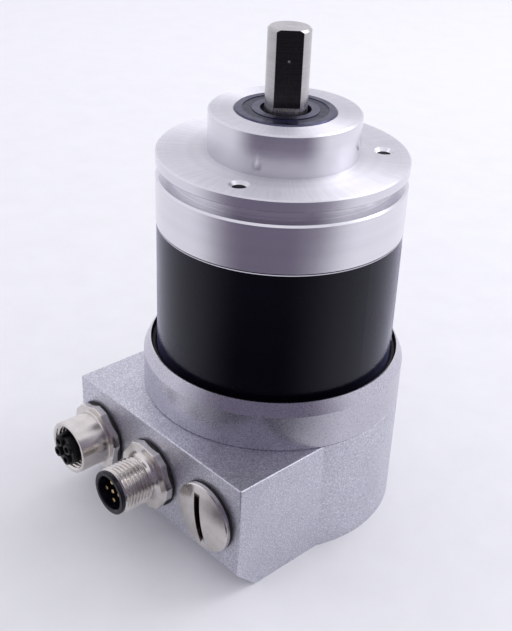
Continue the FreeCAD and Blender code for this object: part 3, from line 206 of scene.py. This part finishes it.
def cast_aluminium(name, colour, roughness, grain_depth, contrast):
    """Shot-blasted aluminium: coarse speckle, painted glints on the grains, scattered pits, edges
    lightened both as wear and as painted highlight.
    """
    s = Surface(name, colour, roughness, Metallic=1.0)
    fine = s.noise(0.28 * MM, 3.0, 0.72)
    speckle = s.noise(0.62 * MM, 3.0, 0.65)
    pits = s.spread(s.cells(1.3 * MM), 0.08, 0.20, 1.0, 0.0)
    painted_glints = s.spread(s.cells(0.85 * MM), 0.09, 0.17, 1.0, 0.0)
    mottle = s.noise(7 * MM, 3.0)
    dark = [(1.0 - 0.40 * contrast) * part for part in colour]
    pale = [min(1.0, (1.0 + 0.32 * contrast) * part) for part in colour]
    tone = s.blend(s.spread(fine, 0.38, 0.62), dark, pale)
    tone = s.blend(s.spread(speckle, 0.36, 0.62, 0.50 * contrast, 0.0), tone, dark)
    tone = s.blend(s.spread(mottle, 0.35, 0.70, 0.0, 0.20), tone, dark)
    tone = s.blend(s.calc("MULTIPLY", pits, 0.5), tone, [0.40 * part for part in colour])
    # Painted highlight: scattered near-white glints on the grains.
    tone = s.blend(s.calc("MULTIPLY", painted_glints, 0.70 * contrast), tone, (0.93, 0.93, 0.98))
    # Edges lightened partly as wear and partly as painted highlight, broken up by the fine grain.
    edge = s.calc("MULTIPLY", s.edges(0.34 * MM), s.spread(fine, 0.30, 0.60, 0.35, 1.0))
    s.set("Base Color", s.blend(s.calc("MULTIPLY", edge, 0.85), tone, (0.90, 0.90, 0.96)))
    rough = s.spread(fine, 0.3, 0.7, roughness - 0.08, roughness + 0.08)
    s.set("Roughness", s.calc("SUBTRACT", rough, s.calc("MULTIPLY", edge, 0.15)))
    s.bump(fine, grain_depth)
    s.bump(speckle, 0.7 * grain_depth)
    s.bump(s.calc("SUBTRACT", 1.0, pits), 0.6 * grain_depth)
    return s.material


def ground_steel():
    """Cylindrically ground shaft steel; the flat carries milling arcs and a punch mark, and is painted
    nearly black as a painted dark reflection; sharp edges carry a painted highlight.
    """
    s = Surface("ground_steel", (0.50, 0.48, 0.47), 0.27, Metallic=1.0)
    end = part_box("shaft")[1].z
    flat_turn = math.radians(-42.0)
    flat_out = 4.0 * MM
    outward = Vector((math.cos(flat_turn), math.sin(flat_turn), 0.0))
    marks = s.rings(0.16 * MM)
    reach = s.vector("DOT_PRODUCT", s.place, tuple(outward))
    off_flat = s.calc("ABSOLUTE", s.calc("SUBTRACT", reach, flat_out))
    on_flat = s.spread(off_flat, 0.03 * MM, 0.05 * MM, 1.0, 0.0)
    arc_centre = outward * flat_out + Vector((0.0, 0.0, end + 26 * MM))
    arcs = s.vector("DISTANCE", s.place, tuple(arc_centre))
    arc_line = s.add("ShaderNodeCombineXYZ", {0: arcs}).outputs[0]
    milling = s.noise(0.20 * MM, 3.0, 0.6, arc_line)
    scratch = s.noise(0.14 * MM, 3.0, 0.7, s.stretched(1.0, 1.0, 0.05))
    on_round = s.calc("MULTIPLY", marks, s.calc("SUBTRACT", 1.0, on_flat))
    relief = s.calc("ADD", s.calc("MULTIPLY", milling, on_flat), on_round)
    stain = s.noise(3.5 * MM, 4.0, 0.6)
    tone = s.blend(s.spread(relief, 0.30, 0.70), (0.44, 0.42, 0.42), (0.56, 0.55, 0.55))
    tone = s.blend(s.spread(stain, 0.50, 0.75, 0.0, 0.30), tone, (0.34, 0.30, 0.27))
    # Painted reflection: the flat is coloured nearly black, with the milling arcs as lighter and darker
    # lines.
    milling_and_painted_dark = s.blend(s.spread(milling, 0.35, 0.70), (0.022, 0.020, 0.021), (0.085, 0.080, 0.084))
    tone = s.blend(on_flat, tone, milling_and_painted_dark)
    punch_at = outward * flat_out + Vector((0.0, 0.0, end - 6.9 * MM))
    punch = s.spread(s.vector("DISTANCE", s.place, tuple(punch_at)), 0.18 * MM, 0.34 * MM, 1.0, 0.0)
    centre_at = Vector((0.0, 0.0, end))
    centre = s.spread(s.vector("DISTANCE", s.place, tuple(centre_at)), 0.3 * MM, 0.9 * MM, 1.0, 0.0)
    marked = s.calc("MAXIMUM", punch, s.calc("MULTIPLY", centre, 0.5))
    # Painted highlight: sharp edges are lightened.
    edge = s.edges(0.16 * MM)
    tone = s.blend(s.calc("MULTIPLY", edge, 0.35), tone, (0.76, 0.75, 0.75))
    s.set("Base Color", s.blend(s.calc("MULTIPLY", marked, 0.6), tone, (0.80, 0.76, 0.72)))
    s.set("Roughness", s.spread(scratch, 0.3, 0.7, 0.22, 0.34))
    s.bump(relief, 0.0012 * MM)
    s.bump(s.calc("SUBTRACT", 1.0, marked), 0.06 * MM)
    s.brushed(0.55)
    return s.material


def nickel(name, node, slot_shade=None):
    """Nickel plate on brass, turned about the node's own axis along Y.

    An optional mask function of the surface marks a recess painted dark brown as painted shade.
    """
    s = Surface(name, (0.70, 0.665, 0.635), 0.2, Metallic=1.0)
    marks = s.rings(0.22 * MM, "Y", tuple(centre_of(node)))
    cloud = s.noise(2.6 * MM, 4.0, 0.6)
    scuff = s.spread(s.noise(0.35 * MM, 4.0, 0.75, s.stretched(1.0, 0.35, 1.0)), 0.60, 0.72)
    tone = s.blend(s.spread(cloud, 0.35, 0.65), (0.64, 0.60, 0.57), (0.75, 0.72, 0.69))
    tone = s.blend(s.calc("MULTIPLY", scuff, 0.3), tone, (0.45, 0.41, 0.37))
    # Painted highlight: sharp edges are lightened towards near-white.
    edge = s.edges(0.14 * MM)
    tone = s.blend(s.calc("MULTIPLY", edge, 0.7), tone, (0.90, 0.88, 0.87))
    if slot_shade:
        # Painted shade: the masked recess is darkened to a deep brown.
        tone = s.blend(s.calc("MULTIPLY", slot_shade(s), 0.92), tone, (0.060, 0.038, 0.024))
    s.set("Base Color", tone)
    rough = s.calc("ADD", s.spread(cloud, 0.3, 0.7, 0.17, 0.25), s.calc("MULTIPLY", scuff, 0.10))
    s.set("Roughness", rough)
    s.bump(marks, 0.0010 * MM)
    s.bump(s.noise(1.1 * MM, 2.0), 0.0030 * MM)
    s.brushed(0.3, "Y")
    return s.material


def plug_slot_shade(s):
    """Mask of painted shade in the screwdriver slot: inside the plug's rim, growing as the slot deepens
    under its domed face.
    """
    middle = centre_of("blind_plug")
    crown = 3.2 * MM
    dome_radius = 29.1 * MM
    rim = 8.4 * MM
    dome_centre = Vector((middle.x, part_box("port_gaskets")[1].y + dome_radius - crown, middle.z))
    reach = s.vector("DISTANCE", s.place, tuple(dome_centre))
    under = s.spread(reach, dome_radius - 0.75 * MM, dome_radius - 0.10 * MM, 1.0, 0.0)
    radius = s.lathe("Y", tuple(middle))[0]
    return s.calc("MULTIPLY", under, s.spread(radius, rim - 0.25 * MM, rim, 1.0, 0.0))


def bearing_ring_steel():
    """Dark, finely ground ring faces of a small ball bearing."""
    s = Surface("bearing_ring_steel", (0.11, 0.11, 0.155), 0.3, Metallic=1.0)
    marks = s.rings(0.12 * MM)
    film = s.noise(1.8 * MM, 3.0)
    s.set("Base Color", s.blend(s.spread(marks, 0.3, 0.7), (0.058, 0.058, 0.100), (0.088, 0.088, 0.145)))
    s.set("Roughness", s.spread(film, 0.3, 0.7, 0.26, 0.42))
    s.bump(marks, 0.0010 * MM)
    s.brushed(0.5)
    return s.material


def plain_steel(name, colour, roughness, size=0.4 * MM):
    """Small hidden steel parts: drawn or pressed, with a slight grain."""
    s = Surface(name, colour, roughness, Metallic=1.0)
    grain = s.noise(size, 3.0, 0.6)
    s.set("Base Color", s.blend(s.spread(grain, 0.3, 0.7), [0.85 * part for part in colour], colour))
    s.set("Roughness", s.spread(s.noise(2.2 * MM, 3.0), 0.3, 0.7, roughness - 0.05, roughness + 0.08))
    s.bump(grain, 0.0015 * MM)
    return s.material


def gold_plate():
    s = Surface("gold_plate", (0.86, 0.62, 0.27), 0.2, Metallic=1.0)
    film = s.noise(0.5 * MM, 3.0)
    s.set("Base Color", s.blend(s.spread(film, 0.3, 0.7), (0.58, 0.40, 0.16), (0.70, 0.52, 0.25)))
    s.set("Roughness", s.spread(film, 0.3, 0.7, 0.15, 0.28))
    s.bump(s.rings(0.15 * MM, "Y"), 0.0008 * MM)
    return s.material


# ---------------------------------------------------------------- coatings, rubber and plastics

def satin_black():
    """Satin black coat on the tube with a cool sheen; a thin pale band under its top edge is a painted
    highlight.
    """
    s = Surface("satin_black", (0.001, 0.001, 0.0015), 0.25, Specular_IOR_Level=0.13,
                Specular_Tint=(0.70, 0.70, 1.0, 1.0), Coat_Weight=0.24, Coat_Roughness=0.2,
                Sheen_Weight=0.22, Sheen_Roughness=0.35, Sheen_Tint=(0.45, 0.45, 1.0, 1.0))
    peel = s.noise(0.7 * MM, 2.0)
    cloud = s.noise(11 * MM, 3.0)
    dust = s.spread(s.cells(2.6 * MM), 0.025, 0.05, 1.0, 0.0)
    tone = s.blend(s.spread(cloud, 0.3, 0.7), (0.0002, 0.0002, 0.0008), (0.0006, 0.0006, 0.0018))
    tone = s.blend(s.calc("MULTIPLY", dust, 0.04), tone, (0.10, 0.10, 0.11))
    height = s.lathe()[1]
    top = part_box("housing_tube")[1].z
    # Painted highlight: a pale band just under the top edge, with the topmost tenth of a millimetre left
    # black.
    painted_edge_highlight = s.spread(height, top - 0.36 * MM, top - 0.32 * MM)
    seam = s.spread(height, top - 0.13 * MM, top - 0.10 * MM, 1.0, 0.0)
    s.set("Base Color", s.blend(s.calc("MULTIPLY", painted_edge_highlight, seam), tone, (0.62, 0.61, 0.66)))
    s.set("Roughness", s.spread(cloud, 0.3, 0.7, 0.22, 0.30))
    s.bump(peel, 0.0025 * MM)
    return s.material


def rubber():
    """Matt black nitrile with a fine moulded grain."""
    s = Surface("black_rubber", (0.010, 0.010, 0.012), 0.6, Specular_IOR_Level=0.35)
    grain = s.noise(0.18 * MM, 3.0, 0.6)
    bloom = s.noise(2.5 * MM, 3.0)
    s.set("Base Color", s.blend(s.spread(bloom, 0.4, 0.75), (0.008, 0.008, 0.010), (0.020, 0.020, 0.023)))
    s.set("Roughness", s.spread(grain, 0.3, 0.7, 0.48, 0.70))
    s.bump(grain, 0.004 * MM)
    return s.material


def bearing_seal():
    """Dark lip seal of the bearing, rubbed a little shiny."""
    s = Surface("bearing_seal", (0.012, 0.012, 0.020), 0.4, Specular_IOR_Level=0.45,
                Specular_Tint=(0.72, 0.74, 1.0, 1.0))
    marks = s.rings(0.20 * MM)
    film = s.noise(1.5 * MM, 4.0, 0.6)
    s.set("Base Color", s.blend(s.spread(film, 0.35, 0.7), (0.004, 0.004, 0.018), (0.012, 0.012, 0.036)))
    s.set("Roughness", s.spread(film, 0.3, 0.7, 0.32, 0.5))
    s.bump(marks, 0.002 * MM)
    return s.material


def plastic(name, colour, roughness, **values):
    """Moulded plastic: slight colour drift and a fine spark-eroded grain."""
    s = Surface(name, colour, roughness, **values)
    grain = s.noise(0.22 * MM, 3.0, 0.6)
    drift = s.noise(3.0 * MM, 2.0)
    pale = [min(1.0, 1.25 * part + 0.004) for part in colour]
    s.set("Base Color", s.blend(s.spread(drift, 0.3, 0.7), colour, pale))
    s.set("Roughness", s.spread(grain, 0.3, 0.7, roughness - 0.06, roughness + 0.08))
    s.bump(grain, 0.0025 * MM)
    return s.material


def circuit_board():
    """Green solder mask over copper, with faint tracks as ridges under the lacquer."""
    s = Surface("circuit_board", (0.02, 0.13, 0.06), 0.32, Coat_Weight=0.4)
    tracks = s.spread(s.cells(1.6 * MM), 0.42, 0.48)
    weave = s.noise(0.4 * MM, 2.0, 0.5, s.stretched(1.0, 0.3, 1.0))
    tone = s.blend(tracks, (0.016, 0.105, 0.050), (0.030, 0.180, 0.080))
    s.set("Base Color", s.blend(s.spread(weave, 0.35, 0.65, 0.0, 0.25), tone, (0.045, 0.20, 0.09)))
    s.set("Roughness", s.spread(weave, 0.3, 0.7, 0.26, 0.38))
    s.bump(tracks, 0.01 * MM)
    return s.material


def disc_glass():
    """Code disc: clear glass with dark ring-shaped tracks."""
    s = Surface("disc_glass", (0.80, 0.86, 0.88), 0.06, Transmission_Weight=0.7, IOR=1.5)
    wave = {"Vector": s.place, "Scale": 380.0}
    tracks = s.add("ShaderNodeTexWave", wave, wave_type="RINGS", rings_direction="Z")
    bars = s.spread(tracks.outputs["Fac"], 0.45, 0.55)
    s.set("Base Color", s.blend(bars, (0.80, 0.86, 0.88), (0.05, 0.05, 0.06)))
    s.set("Roughness", s.spread(s.noise(1.2 * MM), 0.3, 0.7, 0.04, 0.10))
    return s.material


def label_film():
    """Blank silver-white film label with a soft fibre grain."""
    s = Surface("label_film", (0.78, 0.79, 0.81), 0.35, Coat_Weight=0.25)
    fibre = s.noise(0.5 * MM, 3.0, 0.6, s.stretched(1.0, 1.0, 3.0))
    s.set("Base Color", s.blend(s.spread(fibre, 0.3, 0.7), (0.74, 0.75, 0.78), (0.82, 0.83, 0.85)))
    s.set("Roughness", s.spread(fibre, 0.3, 0.7, 0.30, 0.42))
    s.bump(fibre, 0.002 * MM)
    return s.material


def centre_of(node):
    low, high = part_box(node)
    return (low + high) / 2


SLOTS = {
    "turned_alu": turned_aluminium(),
    "bearing_steel": bearing_ring_steel(),
    "ball_steel": plain_steel("ball_steel", (0.66, 0.66, 0.69), 0.08, 1.2 * MM),
    "cage_steel": plain_steel("cage_steel", (0.52, 0.48, 0.42), 0.35),
    "seal_rubber": rubber(),
    "spring_steel": plain_steel("spring_steel", (0.22, 0.22, 0.24), 0.4),
    "shaft_steel": ground_steel(),
    "disc_glass": disc_glass(),
    "black_plastic": plastic("black_plastic", (0.006, 0.006, 0.009), 0.34, Specular_IOR_Level=0.3),
    "chip_plastic": plastic("chip_plastic", (0.018, 0.018, 0.020), 0.5),
    "circuit_board": circuit_board(),
    "nickel_brass": nickel("nickel_plate", "blind_plug", plug_slot_shade),
    "gear_plastic": plastic("gear_plastic", (0.74, 0.72, 0.66), 0.42),
    "magnet": plain_steel("magnet", (0.20, 0.20, 0.22), 0.45),
    "black_coat": satin_black(),
    "label_film": label_film(),
    "cast_alu": cast_aluminium("blasted_cover", (0.69, 0.69, 0.78), 0.42, 0.014 * MM, 1.0),
    "cast_ring": cast_aluminium("blasted_ring", (0.58, 0.57, 0.635), 0.28, 0.005 * MM, 0.45),
    "screw_steel": plain_steel("screw_steel", (0.42, 0.42, 0.44), 0.3),
    "dial_plastic": plastic("dial_plastic", (0.76, 0.75, 0.72), 0.4),
    "switch_plastic": plastic("switch_plastic", (0.03, 0.06, 0.16), 0.42),
    "gold": gold_plate(),
}
SPECIAL = {
    "front_seals": bearing_seal(),
    "rear_seals": bearing_seal(),
    "m12_male_insert": plastic("insert_plastic", (0.002, 0.002, 0.006), 0.26, Specular_IOR_Level=0.3),
}


def dress(piece, material):
    piece.data.materials.clear()
    piece.data.materials.append(material)


def dress_frame():
    for part in frame["record"]["subparts"]:
        name = part["node"]
        dress(frame["nodes"][name], SPECIAL.get(name, SLOTS[part["material_slot"]]))


# ---------------------------------------------------------------- mesh tools

def make_piece(mesh, name):
    """Scene object that holds a finished bmesh."""
    data = bpy.data.meshes.new(name)
    mesh.to_mesh(data)
    mesh.free()
    piece = bpy.data.objects.new(name, data)
    bpy.context.scene.collection.objects.link(piece)
    return piece


def polar_mesh(name, rows, count, phase=0.0, closed=True):
    """Skin over rings of points round local Z; each row is (radius, height) or gives it for an angle."""
    mesh = bmesh.new()
    loops = []
    for row in rows:
        loop = []
        for step in range(count):
            angle = phase + 2.0 * math.pi * step / count
            radius, height = row(angle) if callable(row) else row
            loop.append(mesh.verts.new((radius * math.cos(angle), radius * math.sin(angle), height)))
        loops.append(loop)
    pairs = list(zip(loops, loops[1:]))
    if closed:
        pairs.append((loops[-1], loops[0]))
    for lower, upper in pairs:
        for step in range(count):
            after = (step + 1) % count
            mesh.faces.new((lower[step], lower[after], upper[after], upper[step]))
    if not closed:
        mesh.faces.new(loops[0])
        mesh.faces.new(loops[-1])
    bmesh.ops.recalc_face_normals(mesh, faces=mesh.faces)
    return make_piece(mesh, name)


def join(pieces, name):
    """One piece from several, kept as separate shells."""
    mesh = bmesh.new()
    for piece in pieces:
        mesh.from_mesh(piece.data)
        bpy.data.objects.remove(piece)
    return make_piece(mesh, name)


def shade(piece, angle=24.0):
    for face in piece.data.polygons:
        face.use_smooth = True
    piece.data.set_sharp_from_angle(angle=math.radians(angle))


def install(piece, port, material, node):
    """Stands a piece made along local +Z on the front face, in place of its CAD node."""
    piece.data.transform(port)
    shade(piece)
    dress(piece, material)
    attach(piece, "housing")
    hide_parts(node)
    return piece


# ---------------------------------------------------------------- ports

FACE_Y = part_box("port_gaskets")[1].y
AROUND = 180
WALL = 5.0 * MM
STUB = 7.0 * MM
GASKET = 0.8 * MM
HEX_HALF = 8.4 * MM
HEX_CUT = 8.8 * MM
HEX_FRONT = 2.6 * MM
HEX_EDGE = 0.15 * MM
BORE = 4.9 * MM
THREAD_MAJOR = 6.0 * MM
THREAD_MINOR = 5.42 * MM
THREAD_PITCH = 1.0 * MM
ROWS_PER_TURN = 20


def port_frame(node):
    """Matrix from a port's own axes, Z out of the cover, to the frame's."""
    middle = centre_of(node)
    origin = Vector((middle.x, FACE_Y, middle.z))
    return Matrix.Translation(origin) @ Matrix.Rotation(math.radians(90.0), 4, "X")


def hex_rows(phase):
    """Side and front edge of a hexagon whose corners, the first at phase, are cut flat."""

    def side(angle):
        off_corner = (angle - phase + math.radians(30.0)) % math.radians(60.0) - math.radians(30.0)
        off_flat = math.radians(30.0) - abs(off_corner)
        return min(HEX_HALF / math.cos(off_flat), HEX_CUT / math.cos(off_corner))

    return [
        lambda angle: (side(angle), GASKET),
        lambda angle: (side(angle), HEX_FRONT - HEX_EDGE),
        lambda angle: (side(angle) - HEX_EDGE, HEX_FRONT),
    ]


def thread_form(height, angle):
    """Share of full depth left standing, 1 on a crest and 0 in a root, of a right-hand thread."""
    turn = height / THREAD_PITCH + angle / (2.0 * math.pi)
    rise = abs(2.0 * (turn % 1.0) - 1.0)
    return min(max((rise - 0.18) / 0.70, 0.0), 1.0)


def thread_rows(start, end, radius_at):
    """Rows of a thread from height start to end; radius_at(form, height) gives the wall."""
    total = max(2, round(abs(end - start) / THREAD_PITCH * ROWS_PER_TURN))

    def row_at(height):
        return lambda angle: (radius_at(thread_form(height, angle), height), height)

    return [row_at(start + (end - start) * index / total) for index in range(total + 1)]


def male_wall(start, end, neck):
    """Outside thread that fades out of the neck at start and is chamfered at end."""

    def radius_at(form, height):
        share = min(max((height - start) / THREAD_PITCH, 0.0), 1.0)
        thread = THREAD_MINOR + (THREAD_MAJOR - THREAD_MINOR) * form
        return min(neck + (thread - neck) * share, THREAD_MINOR + (end - height))

    return radius_at


def female_wall(mouth):
    """Inside thread with a countersunk mouth."""

    def radius_at(form, height):
        sunk = THREAD_MAJOR - (mouth - height)
        return max(THREAD_MAJOR - (THREAD_MAJOR - THREAD_MINOR) * form, sunk)

    return radius_at


def fillet_rows(radius, size):
    """Hollow curve from the front of a hexagon onto a round neck."""
    rows = []
    for index in range(7):
        turn = math.radians(15.0 * index)
        rows.append((radius + size * (1.0 - math.sin(turn)), HEX_FRONT + size * (1.0 - math.cos(turn))))
    return rows


def make_male_shell():
    neck = 5.6 * MM
    start = 4.2 * MM
    end = 12.3 * MM
    corner = math.radians(54.0)
    rows = [(BORE, -WALL), (STUB, -WALL), (STUB, GASKET)]
    rows += hex_rows(corner)
    rows += fillet_rows(neck, 1.3 * MM)
    rows += thread_rows(start, end, male_wall(start, end, neck))
    rows += [(BORE, end)]
    piece = polar_mesh("m12_male_shell_threaded", rows, AROUND, corner)
    finish = nickel("nickel_male", "m12_male_shell")
    return install(piece, port_frame("m12_male_shell"), finish, "m12_male_shell")


def make_female_shell():
    outer = 6.85 * MM
    mouth = 10.5 * MM
    floor = 2.5 * MM
    lip = 0.22 * MM
    corner = math.radians(17.0)
    rows = [(BORE, -WALL), (STUB, -WALL), (STUB, GASKET)]
    rows += hex_rows(corner)
    rows += fillet_rows(outer, 0.4 * MM)
    rows += [(outer, mouth - lip), (outer - 0.3 * lip, mouth - 0.3 * lip), (outer - lip, mouth)]
    rows += [(THREAD_MAJOR + 0.12 * MM, mouth)]
    rows += thread_rows(mouth - 0.12 * MM, floor, female_wall(mouth))
    rows += [(BORE, floor)]
    piece = polar_mesh("m12_female_shell_threaded", rows, AROUND, corner)
    finish = nickel("nickel_female", "m12_female_shell")
    return install(piece, port_frame("m12_female_shell"), finish, "m12_female_shell")


def drill(piece, places, radius, bottom, top):
    """The piece with round holes sunk along local Z at the given places."""
    bits = []
    for x, y in places:
        bit = polar_mesh("bit", [(radius, bottom), (radius, top)], 48, closed=False)
        bit.data.transform(Matrix.Translation((x, y, 0.0)))
        bits.append(bit)
    cutter = join(bits, "bits")
    cut = piece.modifiers.new("holes", "BOOLEAN")
    cut.operation = "DIFFERENCE"
    cut.solver = "EXACT"
    cut.object = cutter
    bpy.context.view_layer.update()
    evaluated = piece.evaluated_get(bpy.context.evaluated_depsgraph_get())
    drilled = bpy.data.objects.new(piece.name + "_drilled", bpy.data.meshes.new_from_object(evaluated))
    bpy.context.scene.collection.objects.link(drilled)
    bpy.data.objects.remove(piece)
    bpy.data.objects.remove(cutter)
    return drilled


def make_female_insert():
    """Insulator with a keyway, four round contact towers and drilled contact holes."""
    back = -12.5 * MM
    step = 2.5 * MM
    front = 11.6 * MM
    tower_front = 12.4 * MM
    core = 4.2 * MM
    tower = 1.42 * MM
    hole = 0.80 * MM
    hole_floor = 7.0 * MM
    clear_of_front = 13.0 * MM
    pitch = 2.5 * MM
    first = math.radians(33.6)
    key_half = math.radians(11.0)
    key_depth = 0.75 * MM

    def rim(shrink, height):
        def row(angle):
            off = abs((angle - math.radians(90.0) + math.pi) % (2.0 * math.pi) - math.pi)
            notch = key_depth if off < key_half else 0.0
            return core - shrink - notch, height
        return row

    rows = [(BORE, back), (BORE, step), rim(0.0, step), rim(0.0, front - 0.3 * MM)]
    rows += [rim(0.12 * MM, front - 0.08 * MM), rim(0.35 * MM, front)]
    rows += [(3.0 * MM, front - 0.02 * MM)]
    angles = [first + index * math.pi / 2.0 for index in range(4)]
    places = [(pitch * math.cos(angle), pitch * math.sin(angle)) for angle in angles]
    core_shell = polar_mesh("core", rows, AROUND, closed=False)
    shells = [drill(core_shell, places + [(0.0, 0.0)], hole, hole_floor, clear_of_front)]
    edge = 0.22 * MM
    for x, y in places:
        rows = [
            (hole, front - 0.6 * MM), (tower, front - 0.6 * MM), (tower, tower_front - edge),
            (tower - 0.3 * edge, tower_front - 0.3 * edge), (tower - edge, tower_front),
            (hole + 0.15 * MM, tower_front), (hole, tower_front - 0.15 * MM),
        ]
        shell = polar_mesh("tower", rows, 48)
        shell.data.transform(Matrix.Translation((x, y, 0.0)))
        shells.append(shell)
    piece = join(shells, "m12_female_insert_towers")
    finish = plastic("insert_plastic_female", (0.002, 0.002, 0.003), 0.34, Specular_IOR_Level=0.22)
    return install(piece, port_frame("m12_female_shell"), finish, "m12_female_insert")


# ---------------------------------------------------------------- studio

CAMERA_AZIMUTH = math.radians(45.23)
CAMERA_ELEVATION = math.radians(29.25)
CAMERA_ROLL = math.radians(3.03)

# The dark cards' reach and lift off the floor in millimetres, and how far out and up they fade.
CARD_REACH = 190
CARD_LIFT = 0.4
CARD_GLOW = 0.18
CARD_FADE_IN = (58 * MM, 90 * MM)
CARD_BRIGHTEN = (90 * MM, 170 * MM)
CARD_FADE_UP = (180 * MM, 320 * MM)


def heading(azimuth, elevation=0.0):
    """Unit vector from the object towards a viewer at that azimuth and elevation."""
    level = math.cos(elevation)
    return Vector((math.sin(azimuth) * level, -math.cos(azimuth) * level, math.sin(elevation)))


def make_camera():
    distance = 271.6 * MM
    target = Vector((0.0, 0.0, 50.1 * MM))
    back = heading(CAMERA_AZIMUTH, CAMERA_ELEVATION)
    right = Vector((math.cos(CAMERA_AZIMUTH), math.sin(CAMERA_AZIMUTH), 0.0))
    up = back.cross(right)
    rolled_right = right * math.cos(CAMERA_ROLL) + up * math.sin(CAMERA_ROLL)
    rolled_up = up * math.cos(CAMERA_ROLL) - right * math.sin(CAMERA_ROLL)
    data = bpy.data.cameras.new("camera")
    data.lens = 60.86
    data.shift_x = -0.0303
    data.shift_y = -0.0074
    data.clip_start = 0.01
    data.clip_end = 50.0
    camera = bpy.data.objects.new("camera", data)
    turned = Matrix((rolled_right, rolled_up, back)).transposed().to_4x4()
    camera.matrix_world = Matrix.Translation(target + back * distance) @ turned
    bpy.context.scene.collection.objects.link(camera)
    bpy.context.scene.camera = camera


def make_floor():
    """Wide pale sheet with a faint paper tone, and painted light making it a little paler on the side
    away from the camera.
    """
    mesh = bmesh.new()
    bmesh.ops.create_grid(mesh, x_segments=8, y_segments=8, size=6.0)
    floor = make_piece(mesh, "floor")
    s = Surface("floor_paper", (0.77, 0.77, 0.79), 0.6, Specular_IOR_Level=0.1)
    tooth = s.noise(14 * MM, 4.0, 0.6)
    tone = s.blend(s.spread(tooth, 0.3, 0.7), (0.755, 0.755, 0.775), (0.785, 0.785, 0.805))
    # Painted light: the floor is paler further from the camera's side.
    away = s.vector("DOT_PRODUCT", s.place, tuple(-heading(CAMERA_AZIMUTH)))
    s.set("Base Color", s.blend(s.spread(away, 0.0, 400 * MM, 0.0, 0.25), tone, (0.94, 0.94, 0.96)))
    s.bump(s.noise(1.5 * MM, 3.0), 0.01 * MM)
    dress(floor, s.material)


def make_dark_card(name, profile, left, right):
    """Dark surround on the camera's side, seen only in reflections, in place of a photographer.

    profile holds radii and heights in millimetres. left and right are the azimuths in degrees,
    measured from the camera, over which the card fades in and out.
    """
    steps = 72
    mesh = bmesh.new()
    rails = []
    for index in range(steps):
        foot = heading(2.0 * math.pi * index / steps)
        rail = []
        for radius, height in profile:
            rail.append(mesh.verts.new((foot.x * radius * MM, foot.y * radius * MM, height * MM)))
        rails.append(rail)
    for before, after in zip(rails, rails[1:] + rails[:1]):
        for index in range(len(profile) - 1):
            mesh.faces.new((before[index], after[index], after[index + 1], before[index + 1]))
    card = make_piece(mesh, name)
    card.visible_camera = False
    card.visible_diffuse = False
    card.visible_shadow = False
    card.visible_transmission = False
    s = Surface(name + "_cloth", (0.0, 0.0, 0.0), 0.9, Specular_IOR_Level=0.0)
    s.set("Emission Color", (0.95, 0.82, 1.18, 1.0))
    radius, height = s.lathe()
    s.set("Emission Strength", s.spread(radius, *CARD_BRIGHTEN, 0.15 * CARD_GLOW, CARD_GLOW))
    facing = s.vector("DOT_PRODUCT", s.place, tuple(heading(CAMERA_AZIMUTH)))
    sideways = s.vector("DOT_PRODUCT", s.place, tuple(heading(CAMERA_AZIMUTH + math.pi / 2.0)))
    turn = s.calc("ARCTAN2", sideways, facing)
    left_fade = s.spread(turn, *map(math.radians, left), kind="SMOOTHSTEP")
    right_fade = s.spread(turn, *map(math.radians, right), 1.0, 0.0, kind="SMOOTHSTEP")
    above = s.spread(height, *CARD_FADE_UP, 1.0, 0.0, kind="SMOOTHSTEP")
    away = s.spread(radius, *CARD_FADE_IN, kind="SMOOTHSTEP")
    sides = s.calc("MULTIPLY", left_fade, right_fade)
    s.set("Alpha", s.calc("MULTIPLY", sides, s.calc("MULTIPLY", above, away)))
    dress(card, s.material)


def make_world():
    """Even white dome, a little dimmer towards the horizon."""
    world = bpy.data.worlds.new("dome")
    world.use_nodes = True
    tree = world.node_tree
    background = tree.nodes["Background"]
    place = tree.nodes.new("ShaderNodeTexCoord")
    parts = tree.nodes.new("ShaderNodeSeparateXYZ")
    ramp = tree.nodes.new("ShaderNodeValToRGB")
    tree.links.new(place.outputs["Generated"], parts.inputs[0])
    tree.links.new(parts.outputs["Z"], ramp.inputs[0])
    tree.links.new(ramp.outputs["Color"], background.inputs["Color"])
    ramp.color_ramp.elements[0].position = 0.0
    ramp.color_ramp.elements[0].color = (0.86, 0.855, 0.92, 1.0)
    ramp.color_ramp.elements[1].position = 0.6
    ramp.color_ramp.elements[1].color = (0.90, 0.895, 0.96, 1.0)
    background.inputs["Strength"].default_value = 1.045
    bpy.context.scene.world = world


def make_softbox(name, place, size, power):
    """Square area light aimed at the middle of the object."""
    data = bpy.data.lights.new(name, "AREA")
    data.shape = "SQUARE"
    data.size = size
    data.energy = power
    data.color = (0.97, 0.97, 1.0)
    light = bpy.data.objects.new(name, data)
    light.location = place
    aim = Vector((0.0, 0.0, 50 * MM)) - Vector(place)
    light.rotation_mode = "QUATERNION"
    light.rotation_quaternion = aim.to_track_quat("-Z", "Y")
    bpy.context.scene.collection.objects.link(light)


def make_studio():
    make_camera()
    make_floor()
    floor_profile = [(radius, CARD_LIFT) for radius in (58, 90, 140, CARD_REACH)]
    wall_profile = [(CARD_REACH, height) for height in (CARD_LIFT, 60, 150, 320)]
    make_dark_card("floor_card", floor_profile, (-74, -28), (6, 60))
    make_dark_card("wall_card", wall_profile, (-82, -38), (28, 72))
    make_world()
    make_softbox("key_light", (0.15, 0.60, 0.80), 0.6, 3.0)
    bpy.context.scene.view_settings.view_transform = "Standard"
    bpy.context.scene.view_settings.look = "None"


dress_frame()
make_male_shell()
make_female_shell()
make_female_insert()
make_studio()
